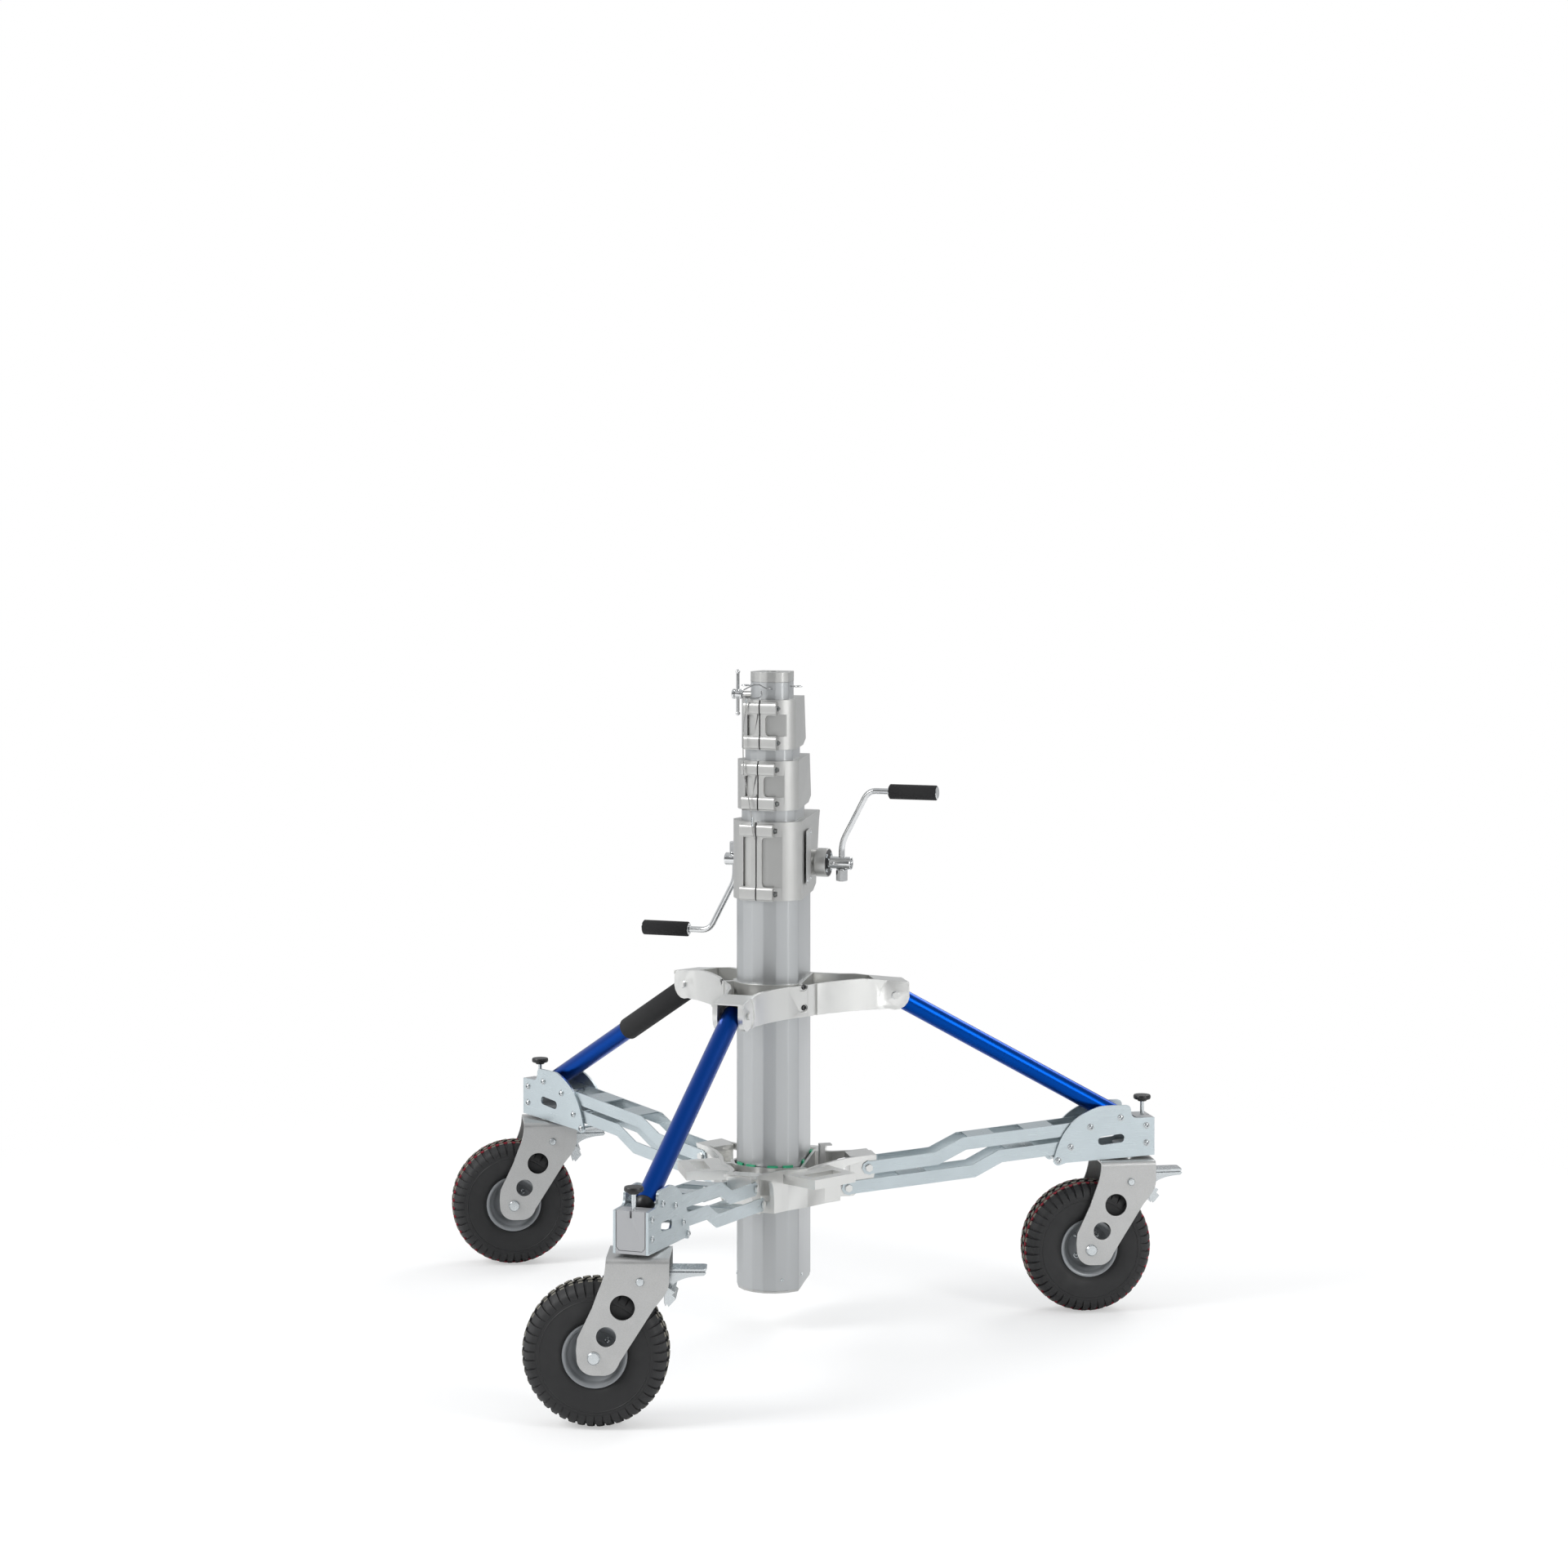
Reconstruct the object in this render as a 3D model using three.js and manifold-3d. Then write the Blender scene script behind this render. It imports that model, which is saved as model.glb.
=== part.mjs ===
// A crank-up roller stand for lights: a four-section mast on a folding base with three
// pneumatic castors. Millimetres, +Z up. The front leg points to -Y, the mast's round
// front faces nearly the same way and the winch sits behind the mast. Heights are measured
// from a datum under the floor, and the last lines set the stand on the floor.
import * as THREE from 'three';
import { mergeVertices } from 'three/addons/utils/BufferGeometryUtils.js';
import Module from 'manifold-3d';

const wasm = await Module();
wasm.setup();

// Units and clearances
const degree = Math.PI / 180;
const seatGap = 0.3;      // between pieces that touch
const runningGap = 0.6;   // between pieces that slide or turn
const overrun = 6;        // how far a cut passes the faces that it cuts
const weldTolerance = 0.0001;

// Flats of round pieces, from the thinnest up, and steps of a bend or an arc
const hexSides = 6;
const pinSides = 6;
const boltSides = 8;
const knobSides = 12;
const roundSides = 16;
const bendSteps = 3;
const arcSteps = 6;

// Heights above a level, from a list of rises
const above = (level, rises) => Object.fromEntries(
  Object.entries(rises).map(([name, rise]) => [name, level + rise]));

// Legs: azimuth of each, seen from above, and the way its castor trails
const legs = [
  { name: 'front', azimuth: -90 * degree, trailing: 197 * degree },
  { name: 'right', azimuth: 30 * degree, trailing: 207 * degree },
  { name: 'left', azimuth: 150 * degree, trailing: 206 * degree },
];
const seamAngle = 60 * degree;     // from each leg to the seams beside it

// Floor above the datum, and the tyres that stand on it
const floorHeight = 12.5;
const tyreRadius = 130;
const tyreHalf = 42.5;
const tyreShares = [[0.58, 0.99], [0.8, 0.985], [0.93, 0.82], [1, 0.36]];

// Mast sections: flats on a round front, then flat sides that lean in to a flat rear
const mastCorner = 69 * degree;    // from the front to the edge of a flat side
const mastTurn = 6.3 * degree;     // of the round front, clockwise from the front leg
const mastTaper = 10.6 * degree;
const mastFlats = 7;
const mastFoot = 97;               // lower end of the outer column
const sectionFoot = 112.3;         // where the inner sections stand on the foot plug
const columnWall = 4;
const sectionWall = 3.5;
const upperPivotHeight = 659.7;    // of the struts' pivots on the upper bracket
const columnRise = 343.3;          // column's top above those pivots
const tubeRise2 = 118.3;           // top of each inner section above the one round it
const tubeRise3 = 118.7;
const tubeRise4 = 40.4;
const column = { front: 72, rear: 108.6, top: upperPivotHeight + columnRise };
const section2 = { front: 62.25, rear: 81, top: column.top + tubeRise2 };
const section3 = { front: 55.25, rear: 57, top: section2.top + tubeRise3 };
const section4 = { front: 44.25, rear: 33, top: section3.top + tubeRise4 };
const footLip = 5;                 // foot plug below the column's end
const footInset = 1.5;

// Collars at the top of the first three sections, each with a room behind it
const collarCorner = 71 * degree;
const collarFlats = 9;
const collarCap = 6;
const collarWall = 6;
const capGap = 1;                  // between the end of a tube and the cap over it
const collarSize1 = { front: 78, taper: 10.8 * degree, rearTop: 203, rearFoot: 156, height: 153 };
const collarSize2 = { front: 69.6, taper: 12.4 * degree, rearTop: 145, rearFoot: 166, height: 96.3 };
const collarSize3 = { front: 61.6, taper: 12.3 * degree, rearTop: 105, rearFoot: 126, height: 97 };
const collarOn = (tube, size) => {
  const top = tube.top + capGap + collarCap;
  return { ...size, top, foot: top - size.height };
};
const collar1 = collarOn(column, collarSize1);
const collar2 = collarOn(section2, collarSize2);
const collar3 = collarOn(section3, collarSize3);
const rearChamferDepth = 40;       // lower rear corner of each room
const rearChamferHeight = 10;
const clampSlot = 3;               // split at the front of a collar
const lugProud = 2;                // face of the clamp lugs ahead of the collar's front
const lugReach = 34;
const lugHeight = 27;
const lugRib = 15;
const coverThickness = 4;

// Winch shaft, T sockets and crank arms
const shaftBehind = 94;
const shaftDrop = 86.6;            // shaft under the column's top
const shaftHeight = column.top - shaftDrop;
const shaftRadius = 8.5;
const bossNeckRadius = 25;
const bossRadius = 28.5;
const bossStep = 62;
const bossEnd = 85;
const socketEnd = 132;
const socketRadius = 12.75;
const armAcross = 112;             // where the crank rod crosses its T socket
const rodRadius = 6;
const rodRise = 40;
const rodSlant = 55;
const rodThrow = 145;
const rodBend = 16;
const rodSteps = 26;
const rodEnd = 305;
const rodDrop = 20;                // rod below the shaft's axis, inside its end nut
const endNutRadius = 11.5;
const endNutTop = -13.2;
const endNutLength = 22;
const gripStart = 212;
const gripLength = 98;
const gripRadius = 14.8;

// Upper bracket: three castings bolted round the column
const upperPivotReach = 240.2;
const bracketWall = 7;
const upperArmRises = { foot: -26.7, rootTop: 33.3, crownTop: 35.3, tipTop: 25.3, clevisRoof: 22.3 };
const upperArm = {
  halfWidth: 32.5, rootReach: 196, bendReach: 118, bendHalf: 44, tip: 268, crownReach: 173,
  earRadius: 29, frontSeam: 102, rearSeam: 126, pocketEnd: 198, floor: 8,
  ...above(upperPivotHeight, upperArmRises),
};
const clevisHalf = 20.5;
const clevisStart = 209;
const earRecess = 2;
const earRecessRadius = 34;
const seamBoltRadius = 4;
const seamBoltHead = 6.5;
const seamBoltHeadHeight = 8;
const seamBoltRises = { lower: -10.7, upper: 17.3 };
const seamBoltHeights = Object.values(above(upperPivotHeight, seamBoltRises));

// Lower bracket: one casting that slides on the column
const boreGap = 5;                 // room for the glide pads round the column
const lowerLinkReach = 146.1;
const lowerLinkHeight = 282.3;
const linkStagger = 41.2;          // upper link's pivot further out than the lower one's
const linkSpread = 38.3;           // and above it
const upperLinkReach = lowerLinkReach + linkStagger;
const upperLinkHeight = lowerLinkHeight + linkSpread;
const lowerArmRises = { foot: -20.3, seamTop: 50.7, crownTop: 64.7, archKneeHeight: 45.7 };
const lowerArm = {
  halfWidth: 33, rootReach: 165, bendReach: 112, bendHalf: 42, tip: 196,
  frontSeam: 102, rearSeam: 128, pocketEnd: 150, floor: 23, archFoot: 126, archKnee: 139,
  ...above(lowerLinkHeight, lowerArmRises),
};
const tongueHalf = 25;
const tongueRises = { foot: -16.3, tipFoot: 17.7, top: 62.7 };
const tongue = { root: 100, tip: 203, toe: 156, ...above(lowerLinkHeight, tongueRises) };
const handTabRises = { foot: 33.7, top: 51.7 };
const handTab = { reach: 182, root: 96, half: 53, rootHalf: 62, ...above(lowerLinkHeight, handTabRises) };
const handSlot = { near: 132, far: 160, half: 38 };
const padThickness = 4.4;
const padSpread = 8 * degree;
const padBand = 5;                 // ring below the pads that joins them
const padRises = { foot: -16.3, top: 58.7 };
const pads = above(lowerLinkHeight, padRises);
const padAngles = [-132, -108, -72, -48, 6, 174, 72, 108];
const latchRises = { foot: 9.7, top: 83.7, earTop: 25.7, pinHeight: 16.7 };
const latch = {
  near: 93, far: 103, half: 9, wall: 2.5, earHalf: 13, pinRadius: 2.5, lipLength: 14,
  ...above(lowerLinkHeight, latchRises),
};

// Links: cut-out channels between lower bracket and end box
const linkHalf = 28;
const linkSheet = 2.7;
const linkHeight = 25;
const linkEnd = 14;
const linkLean = 2.8 * degree;     // straight stretches against the line of the pivots
const linkSpanReach = 452.9;
const linkSpanRise = 63.6;
const webSheet = 2.5;
const upperLink = {
  step: 138, stepLength: 60, innerWeb: 206, innerWebLength: 54, outerWeb: 322, outerWebLength: 60,
};
const lowerLink = {
  step: 255, stepLength: 58, innerWeb: 104, innerWebLength: 56, outerWeb: 326, outerWebLength: 58,
};

// End box: two plates, a block with the kingpin bearing, and bolts
const boxHalf = 33;
const plateSheet = 4.5;
const boxInset = 36;               // inner end before the outer pivot of the lower link
const boxDrop = 21.9;              // lower edge under that pivot
const boxLength = 210;
const boxHeight = 101.6;
const boxInner = lowerLinkReach + linkSpanReach - boxInset;
const boxOuter = boxInner + boxLength;
const boxFoot = lowerLinkHeight + linkSpanRise - boxDrop;
const plateShares = [
  [1, 0], [1, 0.74], [0.843, 0.74], [0.8, 0.79], [0.775, 0.88], [0.767, 1], [0.524, 1], [0.39, 0.93],
  [0.262, 0.77], [0.124, 0.443], [0.019, 0.089], [0, 0], [0.003, -0.06], [0.025, -0.112],
  [0.062, -0.13], [0.1, -0.11], [0.124, -0.089], [0.395, -0.059],
];
const boxInsets = {                // from the outer end
  handHole: 90, strut: 69.9, kingpin: 53.2, sill: 83, block: 35, blockBolts: 16.6, knob: 15.6,
};
const boxRises = {                 // above the lower edge
  strut: 76.4, nose: -4, handHole: 34, upperBolt: 59.2, lowerBolt: 24.6, kingpinTop: 16,
  houseTop: 23, sillTop: 10, blockTop: 75, spindleFoot: 4, knobTop: 116,
};
const boxLevels = above(boxFoot, boxRises);
const handHole = { length: 55, width: 17, lean: 6 * degree };
const strutReach = boxOuter - boxInsets.strut;
const noseInset = 10.2;            // bolt in the nose, from the inner end
const boltRadius = 4;
const boltHead = 7.5;
const boltHeadHeight = 4.5;
const kingpinReach = boxOuter - boxInsets.kingpin;
const kingpinRadius = 10;
const bearingHouseRadius = 24;
const knobReach = boxOuter - boxInsets.knob;
const knobHeight = 13;
const knobRadius = 17.5;
const knobFootShare = 0.7;
const knobTopShare = 0.9;
const knobRimShare = 0.2;
const spindleRadius = 4;

// Struts and the foam grip of the left one
const strutRadius = 19;
const strutSides = 12;
const strutBoltRadius = 6;
const foamRadius = 23;
const foamStart = 32;
const foamLength = 214;

// Castors, in the plane of their fork: ahead of the axle, and above it
const axleHeight = floorHeight + tyreRadius;
const trail = 80;
const axleRadius = 8;
const axleHead = 11.5;
const forkHalf = 54;
const forkSheet = 4;
const forkTop = 174.5;
const forkFoot = 30;
const forkPoints = {
  toe: 20, heel: 45, heelRise: -7, kneeReach: 105, kneeRise: 87, hipReach: 124, hipRise: 109,
  shoulder: 132, shoulderRise: 131, back: -31, backRise: 14, shin: -29, shinRise: 34,
  thigh: -3.5, thighRise: 87, neck: 18.5, neckRise: 143, crown: 21,
};
const largeForkHole = { ahead: 50, above: 88.5, radius: 22 };
const smallForkHole = { ahead: 21.5, above: 37.5, radius: 17.5 };
const bearingRadius = 25;
const rim = {
  bore: 8.6, hub: 17, hubHalf: 49.4, disc: 5, well: 44, half: 36, flange: 58, lip: 3.5, seat: 51,
};
const wheelSides = 24;
const rimSides = 16;

// Brake lever on its bolt through the fork, with a pedal ahead and a toothed shoe
const brake = {
  ahead: 81, above: 134, boltRadius: 6, boltHead: 7.5, boss: 11, half: 21, sheet: 3,
  pedalReach: 195, pedalTop: 149.5, pedalDepth: 9, pedalSheet: 3.5, elbow: 138, elbowDepth: 19,
  shoeNear: 124, shoeFar: 142, shoeFoot: 87.5, shoeTop: 118.5, shoeHalf: 40, tooth: 5, teeth: 4,
};

// Head on the fourth section: a spigot socket with a clamp screw
const headRise = 19.6;             // above the tube
const headTop = section4.top + headRise;
const headLip = 0.4;
const spigotBore = 14.3;
const socketDepth = 75;
const socketSheet = 13;
const socketFloor = headTop - socketDepth;
const headFoot = socketFloor - socketSheet;
const clampDrop = 46;              // screw under the top
const clampHeight = headTop - clampDrop;
const clampBossRadius = 6.5;
const clampBossEnd = 62.4;
const clampScrewRadius = 5;
const clampHeadRadius = 10;
const clampHeadLength = 21;
const clampHeadStart = clampBossEnd + runningGap;
const clampHeadEnd = clampHeadStart + clampHeadLength;
const barAcross = clampHeadStart + clampHeadLength / 2;
const barRadius = 3.3;
const barBall = 4.6;
const barBelow = 38;
const barAbove = 44;
const barFoot = clampHeight - barBelow;
const barTop = clampHeight + barAbove;
const ringDrop = 28;
const ringHeight = headTop - ringDrop;
const ringRadius = 7.2;
const ringWire = 1.6;
const ringReach = 47.9;
const ringAhead = 7;

// Spring clip whose leg sits in the tube's front: points chosen by hand, each with its drop
// below the end of the fourth section
const belowTop = (points) => points.map(([x, y, drop]) => [x, y, section4.top - drop]);
const clipWire = 1.2;
const clipPoints = belowTop([
  [12, -40.5, 12.6], [12.4, -44.9, 12.3], [10.5, -49.2, 11.8], [3.1, -52.3, 10.8],
  [-3.7, -54.6, 7.1], [-8.9, -56.3, 3.9], [-17.9, -59.4, 3.6], [-29.5, -63.3, 9],
  [-38.3, -66.3, 13.8], [-41.1, -67.2, 19.7], [-39.5, -66.7, 25.9], [-34, -64.8, 29.6],
  [-27.1, -62.5, 29], [-18, -59.4, 30.4], [-9.7, -56.6, 29.4], [-4.7, -54.9, 22.9],
  [-5.9, -55.3, 15.6],
]);
const clipSteps = 48;

// Lanyard: thin steel rope from the clip down in front of the collars, chosen in the same way
const lanyardRadius = 1;
const lanyardPoints = belowTop([
  [-33.3, -64.6, 31.2], [-33.4, -64.6, 39.6], [-34.2, -65.4, 55.6], [-36.4, -66.7, 68.3],
  [-37.9, -67.7, 79.9], [-38.8, -69.6, 106.2], [-37.7, -71.3, 134.6], [-36.7, -72.6, 156.8],
  [-35.2, -73.7, 177.1], [-29.5, -74.9, 203.1], [-23.8, -76.7, 229.2], [-19.2, -79.3, 251.5],
  [-15.8, -81.6, 260.8], [-14.9, -82.8, 278], [-13, -83.3, 292], [-9.8, -83.3, 303],
]);
const lanyardSides = 8;
const lanyardSteps = 50;

// Finishes
const finish = (color, roughness, metalness) =>
  new THREE.MeshStandardMaterial({ color, roughness, metalness });
const anodised = finish('#c9cbcc', 0.35, 0.8);
const castAlloy = finish('#b9bab8', 0.5, 0.7);
const zinc = finish('#b4c0c6', 0.35, 0.8);
const blueTube = finish('#0b3f94', 0.3, 0.6);
const galvanised = finish('#a9a9a6', 0.5, 0.7);
const greyPaint = finish('#8b8d90', 0.4, 0.3);
const rubber = finish('#242425', 0.85, 0);
const foam = finish('#2a2a2c', 0.95, 0);
const chrome = finish('#d0d2d4', 0.15, 0.95);
const blackPlastic = finish('#1b1b1d', 0.45, 0);
const greenPlastic = finish('#1f9a6a', 0.5, 0);
const blockPaint = finish('#a2a3a5', 0.45, 0.4);

// Solids from three.js geometry, joined and cut with manifold-3d
function solid(geometry) {
  const bare = geometry.clone();
  bare.deleteAttribute('normal');
  bare.deleteAttribute('uv');
  const merged = mergeVertices(bare, weldTolerance);
  return new wasm.Manifold(new wasm.Mesh({
    numProp: 3,
    vertProperties: new Float32Array(merged.attributes.position.array),
    triVerts: new Uint32Array(merged.index.array),
  }));
}

function geometryOf(manifold) {
  const mesh = manifold.getMesh();
  const geometry = new THREE.BufferGeometry();
  geometry.setAttribute('position', new THREE.BufferAttribute(mesh.vertProperties, mesh.numProp));
  geometry.setIndex(new THREE.BufferAttribute(mesh.triVerts, 1));
  return geometry;
}

const moved = (manifold, matrix) => solid(geometryOf(manifold).applyMatrix4(matrix));
const join = (...parts) => parts.flat().reduce((whole, part) => whole.add(part));
const cut = (whole, ...tools) => tools.flat().reduce((rest, tool) => rest.subtract(tool), whole);

function shapeOf(points) {
  return new THREE.Shape(points.map(([x, y]) => new THREE.Vector2(x, y)));
}

// An outline seen from above, raised from one height to another
function prism(points, foot, top) {
  const geometry = new THREE.ExtrudeGeometry(shapeOf(points), { depth: top - foot, bevelEnabled: false });
  return solid(geometry.translate(0, 0, foot));
}

// An outline in the leg plane (outward, up), thick from one side of the plane to the other
function slab(points, from, to) {
  const geometry = new THREE.ExtrudeGeometry(shapeOf(points), { depth: to - from, bevelEnabled: false });
  return solid(geometry.rotateX(Math.PI / 2).translate(0, to, 0));
}

function block(low, high) {
  const size = high.map((value, i) => value - low[i]);
  const centre = high.map((value, i) => (value + low[i]) / 2);
  return solid(new THREE.BoxGeometry(...size).translate(...centre));
}

function rod(radius, from, to, sides = boltSides) {
  const start = new THREE.Vector3(...from);
  const along = new THREE.Vector3(...to).sub(start);
  const turn = new THREE.Quaternion().setFromUnitVectors(
    new THREE.Vector3(0, 1, 0), along.clone().normalize());
  const geometry = new THREE.CylinderGeometry(radius, radius, along.length(), sides);
  geometry.applyQuaternion(turn);
  const middle = start.addScaledVector(along, 1 / 2);
  return solid(geometry.translate(middle.x, middle.y, middle.z));
}

// A rod across the leg plane, a hexagon head beside it, and a bolt with a head at both ends
const crossRod = (radius, reach, height, half, sides = pinSides) =>
  rod(radius, [reach, -half, height], [reach, half, height], sides);

// Radius of a faceted bore that a round rod can turn in
const boreFor = (radius, sides = pinSides) => (radius + seatGap) / Math.cos(Math.PI / sides);

const crossHead = (head, reach, height, from, to) =>
  rod(head, [reach, from, height], [reach, to, height], hexSides);

function crossBolt(radius, head, reach, height, half) {
  const heads = [-1, 1].map((side) => crossHead(
    head, reach, height, side * (half + seatGap), side * (half + seatGap + boltHeadHeight)));
  return join(crossRod(radius, reach, height, half + boltHeadHeight), heads);
}

function arc(centre, radius, from, to, steps) {
  const points = [];
  for (let i = 0; i <= steps; i++) {
    const angle = from + ((to - from) * i) / steps;
    points.push([centre[0] + radius * Math.cos(angle), centre[1] + radius * Math.sin(angle)]);
  }
  return points;
}

function bend(from, control, to, steps) {
  const curve = new THREE.QuadraticBezierCurve(
    new THREE.Vector2(...from), new THREE.Vector2(...control), new THREE.Vector2(...to));
  return curve.getPoints(steps).map((point) => [point.x, point.y]);
}

const turnPoints = (points, angle) => points.map(([x, y]) => [
  x * Math.cos(angle) - y * Math.sin(angle), x * Math.sin(angle) + y * Math.cos(angle)]);

function piece(parent, name, manifold, material) {
  const mesh = new THREE.Mesh(geometryOf(manifold), material);
  mesh.name = name;
  parent.add(mesh);
  return mesh;
}

// Half width of a mast outline at a distance behind the axis
function sideAt(front, corner, taper, behind) {
  return front * Math.sin(corner) - (behind + front * Math.cos(corner)) * Math.tan(taper);
}

function mastOutline(front, rear, corner = mastCorner, taper = mastTaper, flats = mastFlats) {
  const points = [];
  for (let i = 0; i <= flats; i++) {
    const angle = -corner - mastTurn + (2 * corner * i) / flats;
    points.push([front * Math.sin(angle), -front * Math.cos(angle)]);
  }
  const side = sideAt(front, corner, taper, rear);
  return [...points, [side, rear], [-side, rear]];
}

// Outline of a mast section with every face moved outwards by a distance
const grown = (section, by) => mastOutline(section.front + by, section.rear + by);

function mastTube(section, foot, wall) {
  return cut(
    prism(grown(section, 0), foot, section.top),
    prism(grown(section, -wall), foot - overrun, section.top + overrun));
}

function makeColumn() {
  const shaftHole = rod(shaftRadius + 2 * runningGap,
    [-bossEnd, shaftBehind, shaftHeight], [bossEnd, shaftBehind, shaftHeight]);
  return cut(mastTube(column, mastFoot, columnWall), shaftHole);
}

function makeFoot() {
  const plugInset = -columnWall - seatGap;
  return join(
    prism(grown(column, -footInset), mastFoot - footLip, mastFoot - seatGap),
    prism(grown(column, plugInset), mastFoot - footLip, sectionFoot - seatGap));
}

// Collars
const collarSide = (collar, behind) => sideAt(collar.front, collarCorner, collar.taper, behind);

function collarProfile(collar, inset) {
  const foot = collar.foot + inset;
  const top = collar.top - inset;
  const ahead = -collar.front - overrun;
  const rearTop = collar.rearTop - inset;
  const rearFoot = collar.rearFoot - inset;
  return [
    [ahead, foot], [rearFoot - rearChamferDepth, foot], [rearFoot, foot + rearChamferHeight],
    [rearTop, top], [ahead, top],
  ];
}

// A side view (backwards, up) made thick across the mast
function crossSlab(points, half) {
  const geometry = new THREE.ExtrudeGeometry(shapeOf(points), { depth: 2 * half, bevelEnabled: false });
  geometry.rotateX(Math.PI / 2).translate(0, half, 0).rotateZ(Math.PI / 2);
  return solid(geometry);
}

function collarBody(collar) {
  const deepest = Math.max(collar.rearTop, collar.rearFoot);
  const plan = mastOutline(collar.front, deepest, collarCorner, collar.taper, collarFlats);
  const rough = prism(plan, collar.foot, collar.top);
  return rough.intersect(crossSlab(collarProfile(collar, 0), 2 * collar.front));
}

function clampLugs(collar) {
  const face = -(collar.front + lugProud);
  const back = -(collar.front - collarWall / 2) * Math.cos(Math.asin(lugReach / collar.front));
  const lugs = [];
  for (const side of [-1, 1]) {
    const bar = (across, foot, top) => block(
      [Math.min(side * across, side * clampSlot / 2), face, foot],
      [Math.max(side * across, side * clampSlot / 2), back, top]);
    lugs.push(bar(lugReach, collar.foot, collar.foot + lugHeight));
    lugs.push(bar(lugReach, collar.top - lugHeight, collar.top));
    lugs.push(bar(lugRib, collar.foot, collar.top));
  }
  return turnedWithMast(join(lugs));
}

const turnedWithMast = (manifold) => moved(manifold, new THREE.Matrix4().makeRotationZ(-mastTurn));

function makeCollar(collar, carrier, inner, open) {
  const capFoot = collar.top - collarCap;
  const roomInset = open ? 0 : collarWall;
  const roomStart = carrier.rear + seatGap;
  const roomEnd = Math.max(collar.rearTop, collar.rearFoot) + overrun;
  const roomHalf = collarSide(collar, roomEnd) - collarWall;
  const room = block([-roomHalf, roomStart - overrun, collar.foot + collarWall],
    [roomHalf, roomEnd, capFoot]);
  const profile = collarProfile({
    ...collar, rearTop: collar.rearTop - roomInset, rearFoot: collar.rearFoot - roomInset,
  }, 0);
  const trimmed = open ? room : room.intersect(crossSlab(profile, 2 * collar.front));
  return cut(
    join(collarBody(collar), clampLugs(collar)),
    prism(grown(carrier, seatGap), collar.foot - overrun, capFoot),
    prism(grown(inner, runningGap), capFoot - overrun, collar.top + overrun),
    trimmed,
    turnedWithMast(block([-clampSlot / 2, -2 * collar.front, collar.foot - overrun],
      [clampSlot / 2, -section4.front / 2, collar.top + overrun])));
}

function winchBosses() {
  return [-1, 1].map((side) => join(
    rod(bossNeckRadius, [side * section3.rear / 2, shaftBehind, shaftHeight],
      [side * bossStep, shaftBehind, shaftHeight], roundSides),
    rod(bossRadius, [side * bossStep, shaftBehind, shaftHeight],
      [side * bossEnd, shaftBehind, shaftHeight], roundSides)));
}

function makeWinchCollar() {
  const shell = makeCollar(collar1, column, section2, true);
  const inside = prism(grown(column, seatGap), collar1.foot, collar1.top - collarCap);
  const bore = rod(boreFor(shaftRadius, boltSides), [-bossEnd - overrun, shaftBehind, shaftHeight],
    [bossEnd + overrun, shaftBehind, shaftHeight]);
  return cut(join(shell, cut(join(winchBosses()), inside)), bore);
}

// The cover closes the room behind the first collar along its leaning rear edge
function makeWinchCover() {
  const rise = collar1.height - rearChamferHeight;
  const lean = Math.atan2(collar1.rearTop - collar1.rearFoot, rise);
  const length = rise / Math.cos(lean);
  const half = collarSide(collar1, collar1.rearTop);
  const plate = block([-half, 0, 0], [half, coverThickness, length]);
  const place = new THREE.Matrix4().makeTranslation(
    0, collar1.rearFoot + seatGap / Math.cos(lean), collar1.foot + rearChamferHeight);
  place.multiply(new THREE.Matrix4().makeRotationX(-lean));
  return moved(plate, place);
}

// Upper and lower bracket arms, in the plane of their leg
function armPlan(arm, seams, inset, tip) {
  const shift = (seatGap / 2 + inset) / Math.sin(seamAngle);
  const side = (seam, sign) => {
    const start = [shift + seam * Math.cos(seamAngle) - inset, sign * (seam * Math.sin(seamAngle) - inset)];
    const control = [arm.bendReach - inset, sign * (arm.bendHalf - inset)];
    return bend(start, control, [arm.rootReach, sign * (arm.halfWidth - inset)], bendSteps);
  };
  const half = arm.halfWidth - inset;
  return [
    [shift, 0], ...side(seams[0], -1), [tip, -half], [tip, half], ...side(seams[1], 1).reverse(),
  ];
}

// Seam radii on both sides of an arm: the seams behind the mast lie further out
function seamsOf(arm, azimuth) {
  const radiusAt = (angle) => (
    Math.sin(azimuth + angle) > Math.sin(seamAngle) ? arm.rearSeam : arm.frontSeam);
  return [radiusAt(-seamAngle), radiusAt(seamAngle)];
}

const columnFor = (azimuth, by, foot, top) => prism(turnPoints(grown(column, by), -azimuth), foot, top);

// Socket bolts across the seam beside an arm: each is fixed in that arm and passes the next
function seamBolts(arm, azimuth) {
  const [, radius] = seamsOf(arm, azimuth);
  const middle = (radius + (radius === arm.rearSeam ? column.rear : column.front)) / 2;
  const out = [Math.cos(seamAngle), Math.sin(seamAngle)];
  const across = [-Math.sin(seamAngle), Math.cos(seamAngle)];
  return seamBoltHeights.map((height) => (step) => [
    middle * out[0] + step * across[0], middle * out[1] + step * across[1], height]);
}

function seamShafts(arm, azimuth) {
  const near = bracketWall;
  const far = bracketWall + seatGap;
  return seamBolts(arm, azimuth).map((at) => join(
    rod(seamBoltRadius, at(-near), at(far + seatGap), pinSides),
    rod(seamBoltHead, at(seatGap - near), at(-near - seamBoltHeadHeight)),
    rod(seamBoltHead, at(far), at(far + seamBoltHeadHeight))));
}

// Counterbores for the heads on the arm's own side, and bores with theirs in the next arm
const seamRecesses = (arm, azimuth) => seamBolts(arm, azimuth).map((at) =>
  rod(seamBoltHead + seatGap, at(-bracketWall), at(-2 * bracketWall - seamBoltHeadHeight)));

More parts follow.
